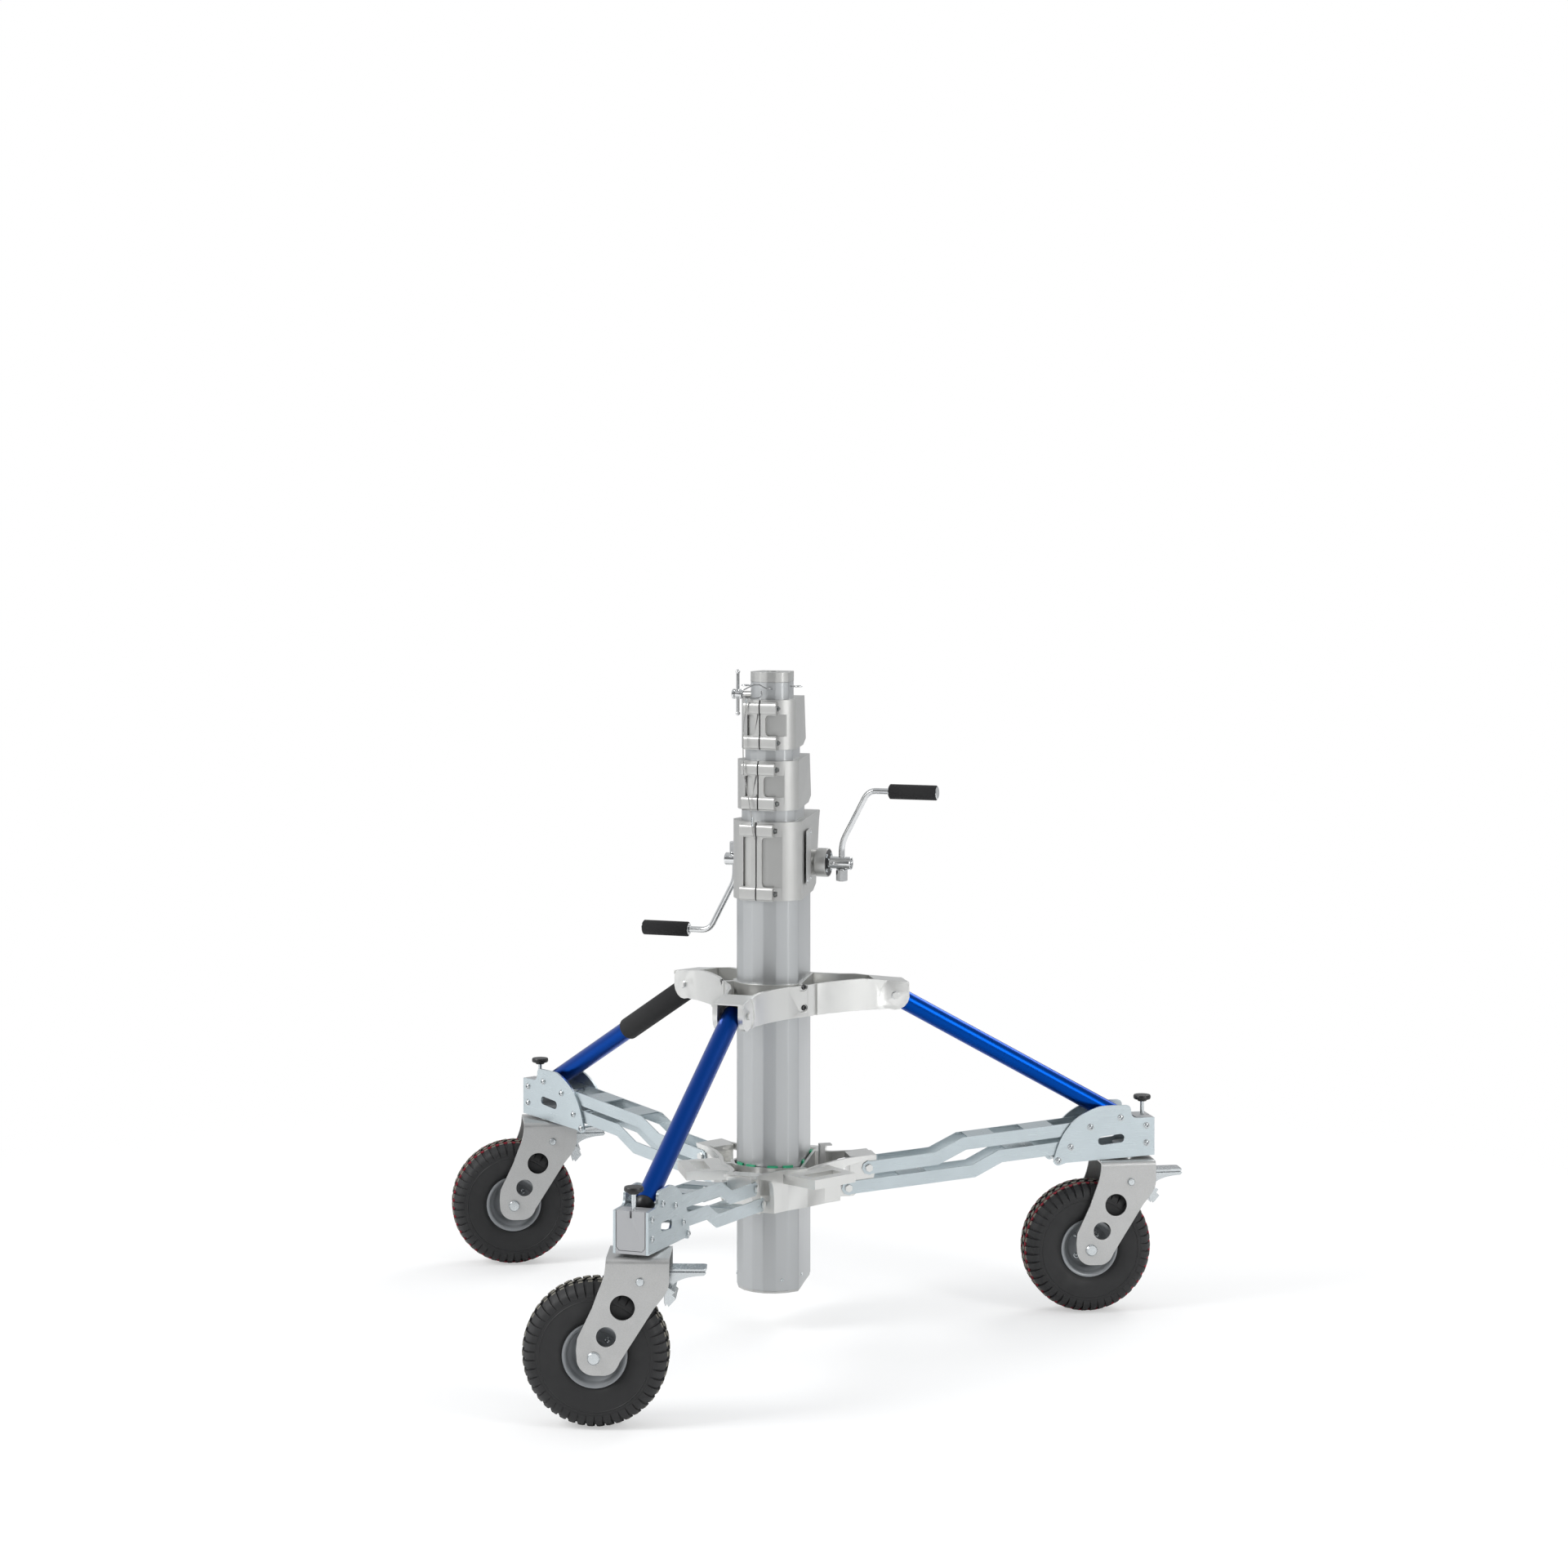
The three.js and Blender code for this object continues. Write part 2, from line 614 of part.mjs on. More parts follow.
const seamHoles = (arm, azimuth) => seamBolts(arm, azimuth).map((at) => join(
  rod(seamBoltRadius + seatGap, at(-overrun), at(bracketWall + overrun), pinSides),
  rod(seamBoltHead + seatGap, at(bracketWall), at(2 * bracketWall + seamBoltHeadHeight))));

// Heads of the pivot bolts, in the recesses of the ears
function pivotHeads() {
  const face = upperArm.halfWidth - earRecess;
  return [-1, 1].map((side) => crossHead(boltHead, upperPivotReach, upperPivotHeight,
    side * (face - earRecess), side * (face + boltHeadHeight)));
}

function upperArmSolid(azimuth) {
  const arm = upperArm;
  const top = arm.crownTop + overrun;
  const foot = arm.foot - arm.earRadius;
  const seams = seamsOf(arm, azimuth);
  const profile = [
    [0, arm.foot], [arm.rootReach - arm.earRadius, arm.foot],
    ...arc([upperPivotReach, upperPivotHeight], arm.earRadius, -115 * degree, 12 * degree, arcSteps),
    [arm.tip - seatGap, arm.tipTop], [arm.crownReach, arm.crownTop], [0, arm.rootTop],
  ];
  const body = prism(armPlan(arm, seams, 0, arm.tip + overrun), foot, top).intersect(
    slab(profile, -arm.tip, arm.tip));
  const pocket = cut(
    prism(armPlan(arm, seams, bracketWall, arm.pocketEnd), arm.foot + arm.floor, top),
    columnFor(azimuth, bracketWall + seatGap, foot, top));
  const recesses = [-1, 1].map((side) => rod(
    earRecessRadius, [upperPivotReach, side * (arm.halfWidth - earRecess), upperPivotHeight],
    [upperPivotReach, side * (arm.halfWidth + overrun), upperPivotHeight], roundSides));
  const backward = new THREE.Matrix4().makeRotationZ(-2 * seamAngle);
  const holes = seamHoles(arm, azimuth - 2 * seamAngle).map((hole) => moved(hole, backward));
  const casting = cut(
    body, pocket, recesses, holes, seamRecesses(arm, azimuth),
    columnFor(azimuth, seatGap, foot, top),
    block([clevisStart, -clevisHalf, foot], [arm.tip + overrun, clevisHalf, arm.clevisRoof]));
  return join(casting, pivotHeads(), seamShafts(arm, azimuth));
}

function lowerArmSolid(azimuth) {
  const arm = lowerArm;
  const top = arm.crownTop + overrun;
  const seams = seamsOf(arm, azimuth);
  const profile = [
    [0, arm.foot], [arm.archFoot, arm.foot],
    ...bend([arm.archFoot, arm.foot + linkHeight], [arm.archFoot, arm.archKneeHeight],
      [arm.archKnee, arm.archKneeHeight], bendSteps),
    [arm.tip, arm.crownTop - overrun], [arm.tip, arm.crownTop], [0, arm.seamTop],
  ];
  const walls = prism(armPlan(arm, seams, -seatGap, arm.tip), arm.foot, top).intersect(
    slab(profile, -arm.tip, arm.tip));
  const pocket = cut(
    prism(armPlan(arm, seams, bracketWall, arm.pocketEnd), arm.foot + arm.floor, top),
    columnFor(azimuth, bracketWall + boreGap, arm.foot, top));
  const tip = [
    [tongue.root, tongue.foot], [tongue.toe, tongue.foot], [tongue.tip - overrun, tongue.tipFoot],
    [tongue.tip, tongue.top - linkHeight], [tongue.tip, tongue.top], [tongue.root, arm.seamTop],
  ];
  const wedge = slab(tip, -tongueHalf, tongueHalf);
  return join(cut(join(walls, wedge), pocket), linkPins());
}

// Pivot bolts of the two links, fixed in the tongue
const linkPins = () => [[upperLinkReach, upperLinkHeight], [lowerLinkReach, lowerLinkHeight]].map(
  ([reach, height]) => crossBolt(boltRadius, boltHead, reach, height, linkHalf));

// Hand grip between two arms, seen along the seam's own direction
function handGrip() {
  const plan = [
    [handTab.root, -handTab.rootHalf], [handTab.reach, -handTab.half],
    [handTab.reach, handTab.half], [handTab.root, handTab.rootHalf],
  ];
  return prism(plan, handTab.foot, handTab.top);
}

const gripSlot = () => block([handSlot.near, -handSlot.half, handTab.foot - overrun],
  [handSlot.far, handSlot.half, lowerArm.crownTop + overrun]);

function latchEars() {
  const ears = [-1, 1].map((side) => block(
    [latch.near, Math.min(side * (latch.half + runningGap), side * latch.earHalf), lowerArm.foot],
    [latch.far, Math.max(side * (latch.half + runningGap), side * latch.earHalf), latch.earTop]));
  return cut(join(ears), crossRod(boreFor(latch.pinRadius), (latch.near + latch.far) / 2,
    latch.pinHeight, latch.earHalf + overrun));
}

function makeLatch() {
  const middle = (latch.near + latch.far) / 2;
  const channel = cut(
    block([latch.near, -latch.half, latch.foot], [latch.far, latch.half, latch.top]),
    block([latch.near + latch.wall, -latch.half + latch.wall, latch.foot - overrun],
      [latch.far + overrun, latch.half - latch.wall, latch.top - latch.wall]));
  const lip = block([latch.far - latch.wall, -latch.half, latch.top - latch.wall],
    [latch.far + latch.lipLength, latch.half, latch.top]);
  return join(channel, lip, crossRod(latch.pinRadius, middle, latch.pinHeight, latch.earHalf));
}

function makeLowerBracket() {
  const arms = [];
  const cuts = [columnFor(0, boreGap, lowerArm.foot - overrun, lowerArm.crownTop + 2 * overrun)];
  for (const leg of legs) {
    const turn = new THREE.Matrix4().makeRotationZ(leg.azimuth);
    arms.push(moved(lowerArmSolid(leg.azimuth), turn));
    const aside = new THREE.Matrix4().makeRotationZ(leg.azimuth + seamAngle);
    const pockets = [leg.azimuth, leg.azimuth + 2 * seamAngle].map(pocketFor);
    arms.push(cut(moved(handGrip(), aside), pockets));
    cuts.push(moved(gripSlot(), aside));
  }
  const rightTurn = new THREE.Matrix4().makeRotationZ(legs[1].azimuth);
  return join(cut(join(arms), cuts), moved(latchEars(), rightTurn));
}

// The pocket of one arm, in the frame of the whole stand
function pocketFor(azimuth) {
  const arm = lowerArm;
  const top = arm.crownTop + overrun;
  const pocket = prism(armPlan(arm, seamsOf(arm, azimuth), bracketWall, arm.pocketEnd),
    arm.foot + arm.floor, top);
  return moved(pocket, new THREE.Matrix4().makeRotationZ(azimuth));
}

function makeGlidePads() {
  const outer = boreGap - seatGap;
  const ring = cut(
    prism(grown(column, outer), pads.foot, pads.top),
    prism(grown(column, outer - padThickness), pads.foot - overrun, pads.top + overrun));
  const reach = 2 * column.rear;
  const corner = (angle) => [reach * Math.cos(angle), reach * Math.sin(angle)];
  const wedges = padAngles.map((angle) => prism(
    [[0, 0], corner(angle * degree - padSpread), corner(angle * degree + padSpread)], pads.foot, pads.top));
  const band = prism(grown(column, outer), pads.foot, pads.foot + padBand);
  return join(wedges, band).intersect(ring);
}

// Links: two bars with a step, joined by webs on top
function linkCentre(link, length) {
  const drop = link.step * Math.tan(linkLean);
  const rise = (length - link.step - link.stepLength) * Math.tan(linkLean);
  return [[0, 0], [link.step, -drop], [link.step + link.stepLength, rise], [length, 0]];
}

function bandAround(line, up, down) {
  const normals = line.slice(1).map((point, i) => {
    const along = [point[0] - line[i][0], point[1] - line[i][1]];
    const size = Math.hypot(...along);
    return [-along[1] / size, along[0] / size];
  });
  const offset = (by) => line.map((point, i) => {
    const before = normals[Math.max(i - 1, 0)];
    const after = normals[Math.min(i, normals.length - 1)];
    const sum = [before[0] + after[0], before[1] + after[1]];
    const scale = 2 / (sum[0] * sum[0] + sum[1] * sum[1]);
    return [point[0] + sum[0] * scale * by, point[1] + sum[1] * scale * by];
  });
  return [...offset(-down), ...offset(up).reverse()];
}

function along(line, step) {
  const next = line.findIndex((point) => point[0] >= step);
  const [from, to] = [line[Math.max(next - 1, 0)], line[Math.max(next, 1)]];
  const share = (step - from[0]) / (to[0] - from[0]);
  return [step, from[1] + (to[1] - from[1]) * share];
}

function makeLink(link, reach, height) {
  const length = Math.hypot(linkSpanReach, linkSpanRise);
  const rise = Math.atan2(linkSpanRise, linkSpanReach);
  const line = linkCentre(link, length);
  const half = linkHeight / 2;
  const set = (points) => turnPoints(points, rise).map(([x, y]) => [x + reach, y + height]);
  const ends = [[0, 0], [length, 0]].map((end) => (
    arc(end, linkEnd, 0, 2 * Math.PI, boltSides).slice(0, -1)));
  const bars = [-linkHalf, linkHalf - linkSheet].map((from) => join(
    slab(set(bandAround(line, half, half)), from, from + linkSheet),
    ends.map((end) => slab(set(end), from, from + linkSheet))));
  const web = (from, size) => slab(
    set(bandAround([along(line, from), along(line, from + size)], half, webSheet - half)),
    -linkHalf + linkSheet / 2, linkHalf - linkSheet / 2);
  const webs = [web(link.innerWeb, link.innerWebLength), web(link.outerWeb, link.outerWebLength)];
  const [endReach, endHeight] = set([[length, 0]])[0];
  return cut(join(bars, webs),
    crossRod(boreFor(boltRadius), reach, height, boxHalf),
    crossRod(boreFor(boltRadius), endReach, endHeight, boxHalf));
}

// End box
const boxPoint = ([out, up]) => [boxInner + out * boxLength, boxFoot + up * boxHeight];
const boxPivots = [
  { reach: upperLinkReach + linkSpanReach, height: upperLinkHeight + linkSpanRise, radius: boltRadius },
  { reach: lowerLinkReach + linkSpanReach, height: lowerLinkHeight + linkSpanRise, radius: boltRadius },
  { reach: boxInner + noseInset, height: boxLevels.nose, radius: boltRadius },
  { reach: strutReach, height: boxLevels.strut, radius: strutBoltRadius, sides: boltSides },
];

function plainPlate(from) {
  const end = handHole.length / 2 - handHole.width / 2;
  const slot = turnPoints([
    ...arc([end, 0], handHole.width / 2, -90 * degree, 90 * degree, arcSteps),
    ...arc([-end, 0], handHole.width / 2, 90 * degree, 270 * degree, arcSteps),
  ], handHole.lean).map(([x, y]) => [x + boxOuter - boxInsets.handHole, y + boxLevels.handHole]);
  const plate = slab(plateShares.map(boxPoint), from, from + plateSheet);
  return cut(plate, slab(slot, -2 * boxHalf, 2 * boxHalf));
}

// Heads of the two bolts that hold a plate to the block
const blockHeads = (side) => [boxLevels.upperBolt, boxLevels.lowerBolt].map((height) => crossHead(
  boltHead, boxOuter - boxInsets.blockBolts, height,
  side * (boxHalf - plateSheet / 2), side * (boxHalf + boltHeadHeight)));

// One plate carries the pivot bolts, the other has their holes
function makeBoltedPlate() {
  const face = boxHalf + seatGap;
  const bolts = boxPivots.map(({ reach, height, radius, sides = pinSides }) => join(
    rod(radius, [reach, -boxHalf, height], [reach, face + seatGap, height], sides),
    crossHead(boltHead, reach, height, plateSheet / 2 - boxHalf, -boxHalf - boltHeadHeight),
    crossHead(boltHead, reach, height, face, face + boltHeadHeight)));
  return join(plainPlate(-boxHalf), bolts, blockHeads(-1));
}

function makeHoledPlate() {
  const holes = boxPivots.map(({ reach, height, radius, sides = pinSides }) =>
    crossRod(radius + seatGap, reach, height, 2 * boxHalf, sides));
  return join(cut(plainPlate(boxHalf - plateSheet), holes), blockHeads(1));
}

function makeEndBlock() {
  const half = boxHalf - plateSheet - seatGap;
  const upright = block([boxOuter - boxInsets.block, -half, boxFoot],
    [boxOuter, half, boxLevels.blockTop]);
  const sill = block([boxOuter - boxInsets.sill, -half, boxFoot], [boxOuter, half, boxLevels.sillTop]);
  const house = rod(bearingHouseRadius, [kingpinReach, 0, boxFoot],
    [kingpinReach, 0, boxLevels.houseTop], roundSides);
  const bores = [
    rod(boreFor(kingpinRadius, boltSides), [kingpinReach, 0, boxFoot - overrun],
      [kingpinReach, 0, boxLevels.kingpinTop + runningGap]),
    rod(boreFor(spindleRadius, boltSides), [knobReach, 0, boxFoot - overrun],
      [knobReach, 0, boxLevels.blockTop + overrun]),
  ];
  return cut(join(upright, sill, house), bores);
}

function makeKnob() {
  const { spindleFoot, knobTop } = boxLevels;
  const knobFoot = knobTop - knobHeight;
  const profile = [
    [0, spindleFoot], [spindleRadius, spindleFoot], [spindleRadius, knobFoot],
    [knobRadius * knobFootShare, knobFoot], [knobRadius, knobTop - knobHeight / 2],
    [knobRadius, knobTop - knobHeight * knobRimShare], [knobRadius * knobTopShare, knobTop], [0, knobTop],
  ];
  const geometry = new THREE.LatheGeometry(profile.map(([x, y]) => new THREE.Vector2(x, y)), knobSides);
  return solid(geometry.rotateX(Math.PI / 2).translate(knobReach, 0, 0));
}

// Strut between the pivots on the end box and on the upper bracket
const strutRun = [upperPivotReach - strutReach, upperPivotHeight - boxLevels.strut];
const strutLength = Math.hypot(...strutRun);
const onStrut = (fromTop, side = 0) => {
  const share = 1 - fromTop / strutLength;
  return [strutReach + strutRun[0] * share, side, boxLevels.strut + strutRun[1] * share];
};

function makeStrut() {
  const geometry = new THREE.CapsuleGeometry(strutRadius, strutLength, bendSteps, strutSides);
  geometry.rotateX(Math.PI / 2);
  geometry.rotateY(Math.atan2(strutRun[0], strutRun[1]));
  const [reach, , height] = onStrut(strutLength / 2);
  return cut(solid(geometry.translate(reach, 0, height)),
    crossRod(boreFor(strutBoltRadius, boltSides), strutReach, boxLevels.strut, boxHalf, boltSides));
}

function makeFoamGrip() {
  const ends = [onStrut(foamStart), onStrut(foamStart + foamLength)];
  const past = [onStrut(foamStart - overrun), onStrut(foamStart + foamLength + overrun)];
  return cut(rod(foamRadius, ...ends, strutSides),
    rod(boreFor(strutRadius, strutSides), ...past, strutSides));
}

// Castor, in the plane of its fork with the axle at zero
function forkOutline() {
  const p = forkPoints;
  return [
    [p.toe, -forkFoot], [p.heel, p.heelRise], [p.kneeReach, p.kneeRise], [p.hipReach, p.hipRise],
    [p.shoulder, p.shoulderRise], [p.shoulder, forkTop], [p.crown, forkTop], [p.neck, p.neckRise],
    [p.thigh, p.thighRise], [p.shin, p.shinRise], [p.back, p.backRise],
    ...arc([0, 0], forkFoot, -170 * degree, -110 * degree, bendSteps), [-p.toe / 2, -forkFoot],
  ];
}

function makeFork() {
  const p = forkPoints;
  const rough = slab(forkOutline(), -forkHalf, forkHalf);
  const inner = forkHalf - forkSheet;
  const postFoot = forkTop - forkSheet / 2;
  const room = block([-forkHalf * 2, -inner, -2 * forkFoot], [2 * p.shoulder, inner, forkTop - forkSheet]);
  const holes = [largeForkHole, smallForkHole].map((hole) => crossRod(
    hole.radius, hole.ahead, hole.above, 2 * forkHalf, knobSides));
  const post = join(
    rod(bearingRadius, [trail, 0, postFoot], [trail, 0, boxFoot - axleHeight - seatGap], roundSides),
    rod(kingpinRadius, [trail, 0, postFoot], [trail, 0, boxLevels.kingpinTop - axleHeight]));
  const fixed = (radius, head, ahead, above) => join(
    crossRod(radius, ahead, above, forkHalf, boltSides),
    [-1, 1].map((side) => crossHead(head, ahead, above,
      side * (forkHalf - forkSheet / 2), side * (forkHalf + boltHeadHeight))));
  return join(cut(rough, room, holes), post,
    fixed(axleRadius, axleHead, 0, 0),
    fixed(brake.boltRadius, brake.boltHead, brake.ahead, brake.above));
}

function turned(profile, sides) {
  const geometry = new THREE.LatheGeometry(profile.map(([x, y]) => new THREE.Vector2(x, y)), sides);
  return solid(geometry);
}

function makeRim() {
  const r = rim;
  const half = [
    [r.bore, r.hubHalf], [r.hub, r.hubHalf], [r.hub, r.disc], [r.well, r.disc], [r.well, r.half - r.lip],
    [r.flange, r.half], [r.flange, r.half - r.lip], [r.seat, r.half - r.lip],
  ];
  const mirrored = half.map(([radius, across]) => [radius, -across]).reverse();
  const profile = [...half, ...mirrored];
  return turned([...profile, profile[0]].reverse(), rimSides);
}

// The flats of the tyre's facets touch its true outline, and one flat stands on the floor
function makeTyre() {
  const facet = Math.cos(Math.PI / wheelSides);
  const bead = [rim.seat + seatGap, rim.half - rim.lip - seatGap];
  const wall = tyreShares.map(([out, across]) => [out * tyreRadius, across * tyreHalf]);
  const half = [bead, [rim.flange + runningGap, bead[1]], ...wall];
  const mirrored = half.map(([radius, across]) => [radius, -across]).reverse();
  const profile = [...half, ...mirrored].map(([radius, across]) => [radius / facet, across]);
  const tyre = turned([...profile, profile[0]].reverse(), wheelSides);
  return moved(tyre, new THREE.Matrix4().makeRotationY(Math.PI / wheelSides));
}

function makeBrake() {
  const b = brake;
  const pedalFoot = b.pedalTop - b.pedalDepth;
  const arm = [
    [b.ahead - b.boss, b.above - b.boss / 2], [b.ahead, b.above - b.boss], [b.shoeNear, b.shoeTop - b.boss],
    [b.shoeNear, b.shoeFoot], [b.shoeFar - b.tooth, b.shoeFoot], [b.shoeFar - b.tooth, b.shoeTop],
    [b.elbow, b.pedalTop - b.elbowDepth], [b.shoeFar + b.tooth, pedalFoot], [b.pedalReach, pedalFoot],
    [b.pedalReach, b.pedalTop], [b.ahead, b.pedalTop], [b.ahead - b.boss, b.above + b.boss / 2],
  ];
  const sides = [-b.half, b.half - b.sheet].map((from) => slab(arm, from, from + b.sheet));
  const pedal = block([b.elbow, -b.half, b.pedalTop - b.pedalSheet], [b.pedalReach, b.half, b.pedalTop]);
  const pitch = (b.shoeTop - b.shoeFoot) / b.teeth;
  const teeth = [];
  for (let i = 0; i < b.teeth; i++) {
    teeth.push([b.shoeFar, b.shoeFoot + pitch * i], [b.shoeFar - b.tooth, b.shoeFoot + pitch * (i + 1)]);
  }
  const shoe = slab([[b.shoeNear, b.shoeTop], [b.shoeNear, b.shoeFoot], ...teeth], -b.shoeHalf, b.shoeHalf);
  const barrel = crossRod(b.boltRadius + 2 * b.sheet, b.ahead, b.above, b.half - b.sheet / 2);
  return cut(join(sides, pedal, shoe, barrel),
    crossRod(boreFor(b.boltRadius, boltSides), b.ahead, b.above, b.half + overrun, boltSides));
}

// Winch shaft with its T sockets, crank arms and grips
function makeShaft() {
  const at = (across) => [across, shaftBehind, shaftHeight];
  const ends = [-1, 1].map((side) => {
    const socket = rod(
      socketRadius, at(side * (bossEnd + seatGap)), at(side * socketEnd), roundSides);
    const bore = rod(rodRadius + seatGap, [side * armAcross, shaftBehind, shaftHeight - 2 * socketRadius],
      [side * armAcross, shaftBehind, shaftHeight + 2 * socketRadius]);
    return cut(socket, bore);
  });
  return join(rod(shaftRadius, at(-bossEnd - overrun), at(bossEnd + overrun)), ends);
}

// Right arm about the shaft's axis; the left one is the same piece turned half round
function makeArm() {
  const point = (across, up) => new THREE.Vector3(across, 0, up);
  const slantEnd = armAcross + rodSlant;
  const lean = Math.atan2(rodSlant, rodThrow - rodRise);
  const route = new THREE.CurvePath();
  const lowBend = [armAcross + rodBend * Math.sin(lean), rodRise + rodBend * Math.cos(lean)];
  const highBend = [slantEnd - rodBend * Math.sin(lean), rodThrow - rodBend * Math.cos(lean)];
  route.add(new THREE.LineCurve3(point(armAcross, -rodDrop), point(armAcross, rodRise - rodBend)));
  route.add(new THREE.QuadraticBezierCurve3(
    point(armAcross, rodRise - rodBend), point(armAcross, rodRise), point(...lowBend)));
  route.add(new THREE.LineCurve3(point(...lowBend), point(...highBend)));
  route.add(new THREE.QuadraticBezierCurve3(
    point(...highBend), point(slantEnd, rodThrow), point(slantEnd + rodBend, rodThrow)));
  route.add(new THREE.LineCurve3(point(slantEnd + rodBend, rodThrow), point(rodEnd, rodThrow)));
  const round = arc([0, 0], rodRadius, 0, 2 * Math.PI, boltSides).slice(0, -1);
  const geometry = new THREE.ExtrudeGeometry(shapeOf(round), { steps: rodSteps, extrudePath: route });
  const nutFoot = [armAcross, 0, endNutTop - endNutLength];
  const nut = rod(endNutRadius, nutFoot, [armAcross, 0, endNutTop], knobSides);
  return join(solid(geometry), nut);
}

function makeCrankGrip() {
  const from = [gripStart, 0, rodThrow];
  const to = [gripStart + gripLength, 0, rodThrow];
  const shell = rod(gripRadius, from, to, roundSides);
  const bore = rod(rodRadius + runningGap, [gripStart - overrun, 0, rodThrow],
    [rodEnd + seatGap, 0, rodThrow], knobSides);
  return cut(shell, bore);
}

// Head
function makeHead() {
  const plug = prism(grown(section4, -sectionWall - seatGap), headFoot, headTop - headLip);
  const lip = prism(grown(section4, headLip), section4.top + seatGap, headTop);
  const rings = [-1, 1].map((side) => join(
    rod(ringWire, [0, -ringAhead, ringHeight], [side * ringReach, -ringAhead, ringHeight]),
    solid(new THREE.TorusGeometry(ringRadius, ringWire, pinSides, knobSides).translate(
      side * (ringReach + ringRadius - ringWire / 2), -ringAhead, ringHeight))));
  const boss = rod(
    clampBossRadius, [0, 0, clampHeight], [-clampBossEnd, 0, clampHeight], roundSides);
  return cut(join(plug, lip, boss, rings),
    rod(spigotBore, [0, 0, socketFloor], [0, 0, headTop + overrun], roundSides),
    rod(boreFor(clampScrewRadius, boltSides), [0, 0, clampHeight],
      [-clampBossEnd - overrun, 0, clampHeight]));
}

function makeTopSection() {
  const tube = mastTube(section4, sectionFoot, sectionWall);
  const bossHole = rod(
    clampBossRadius + seatGap, [0, 0, clampHeight], [-clampBossEnd, 0, clampHeight], roundSides);
  const ringHole = rod(ringWire + seatGap,
    [-ringReach, -ringAhead, ringHeight], [ringReach, -ringAhead, ringHeight]);
  const [inner, outer] = clipPoints;
  const clipHole = rod(boreFor(clipWire), [inner[0], inner[1] + section4.front / 2, inner[2]], outer);
  return cut(tube, bossHole, ringHole, clipHole);
}

function makeClampScrew() {
  const screw = rod(clampScrewRadius, [-spigotBore - seatGap, 0, clampHeight],
    [-clampHeadStart - overrun, 0, clampHeight]);
  const head = rod(
    clampHeadRadius, [-clampHeadStart, 0, clampHeight], [-clampHeadEnd, 0, clampHeight], knobSides);
  const hole = rod(barRadius + seatGap, [-barAcross, 0, barFoot], [-barAcross, 0, barTop]);
  return cut(join(screw, head), hole);
}

function makeTommyBar() {
  const ball = (height) => {
    const geometry = new THREE.SphereGeometry(barBall, boltSides, boltSides / 2);
    return solid(geometry.rotateX(Math.PI / 2).translate(-barAcross, 0, height));
  };
  const bar = rod(barRadius, [-barAcross, 0, barFoot], [-barAcross, 0, barTop]);
  return join(bar, ball(barFoot), ball(barTop));
}

function wire(points, radius, sides, steps) {
  const curve = new THREE.CatmullRomCurve3(points.map((point) => new THREE.Vector3(...point)));
  const round = arc([0, 0], radius, 0, 2 * Math.PI, sides).slice(0, -1);
  return solid(new THREE.ExtrudeGeometry(shapeOf(round), { steps, extrudePath: curve }));
}

// Assembly
function buildMast(stand) {
  piece(stand, 'column_outer', makeColumn(), anodised);
  piece(stand, 'column_foot', makeFoot(), castAlloy);
  piece(stand, 'section_2', mastTube(section2, sectionFoot, sectionWall), anodised);
  piece(stand, 'section_3', mastTube(section3, sectionFoot, sectionWall), anodised);
  piece(stand, 'section_4', makeTopSection(), anodised);
  piece(stand, 'collar_1', makeWinchCollar(), castAlloy);
  piece(stand, 'collar_2', makeCollar(collar2, section2, section3, false), castAlloy);
  piece(stand, 'collar_3', makeCollar(collar3, section3, section4, false), castAlloy);
  piece(stand, 'winch_cover', makeWinchCover(), castAlloy);
  piece(stand, 'head_socket', makeHead(), castAlloy);
  piece(stand, 'clamp_screw', makeClampScrew(), chrome);
  piece(stand, 'tommy_bar', makeTommyBar(), chrome);
  piece(stand, 'safety_clip', wire(clipPoints, clipWire, pinSides, clipSteps), chrome);
  piece(stand, 'lanyard', wire(lanyardPoints, lanyardRadius, lanyardSides, lanyardSteps), chrome);
}

function buildCranks(stand) {
  piece(stand, 'crank_shaft', makeShaft(), chrome);
  for (const [side, turn] of [['right', 0], ['left', Math.PI]]) {
    const crank = new THREE.Group();
    crank.position.set(0, shaftBehind, shaftHeight);
    crank.rotation.y = turn;
    piece(crank, `crank_arm_${side}`, makeArm(), chrome);
    piece(crank, `crank_grip_${side}`, makeCrankGrip(), foam);
    stand.add(crank);
  }
}

function buildBrackets(stand) {
  piece(stand, 'lower_bracket', makeLowerBracket(), castAlloy);
  piece(stand, 'glide_pads', makeGlidePads(), greenPlastic);
}

function buildCastor(leg, legGroup) {
  const castor = new THREE.Group();
  castor.position.set(kingpinReach, 0, axleHeight);
  castor.rotation.z = leg.trailing + Math.PI - leg.azimuth;
  const frame = new THREE.Group();
  frame.position.x = -trail;
  castor.add(frame);
  legGroup.add(castor);
  piece(frame, `fork_${leg.name}`, makeFork(), galvanised);
  piece(frame, `rim_${leg.name}`, makeRim(), greyPaint);
  piece(frame, `tyre_${leg.name}`, makeTyre(), rubber);
  piece(frame, `brake_${leg.name}`, makeBrake(), galvanised);
}

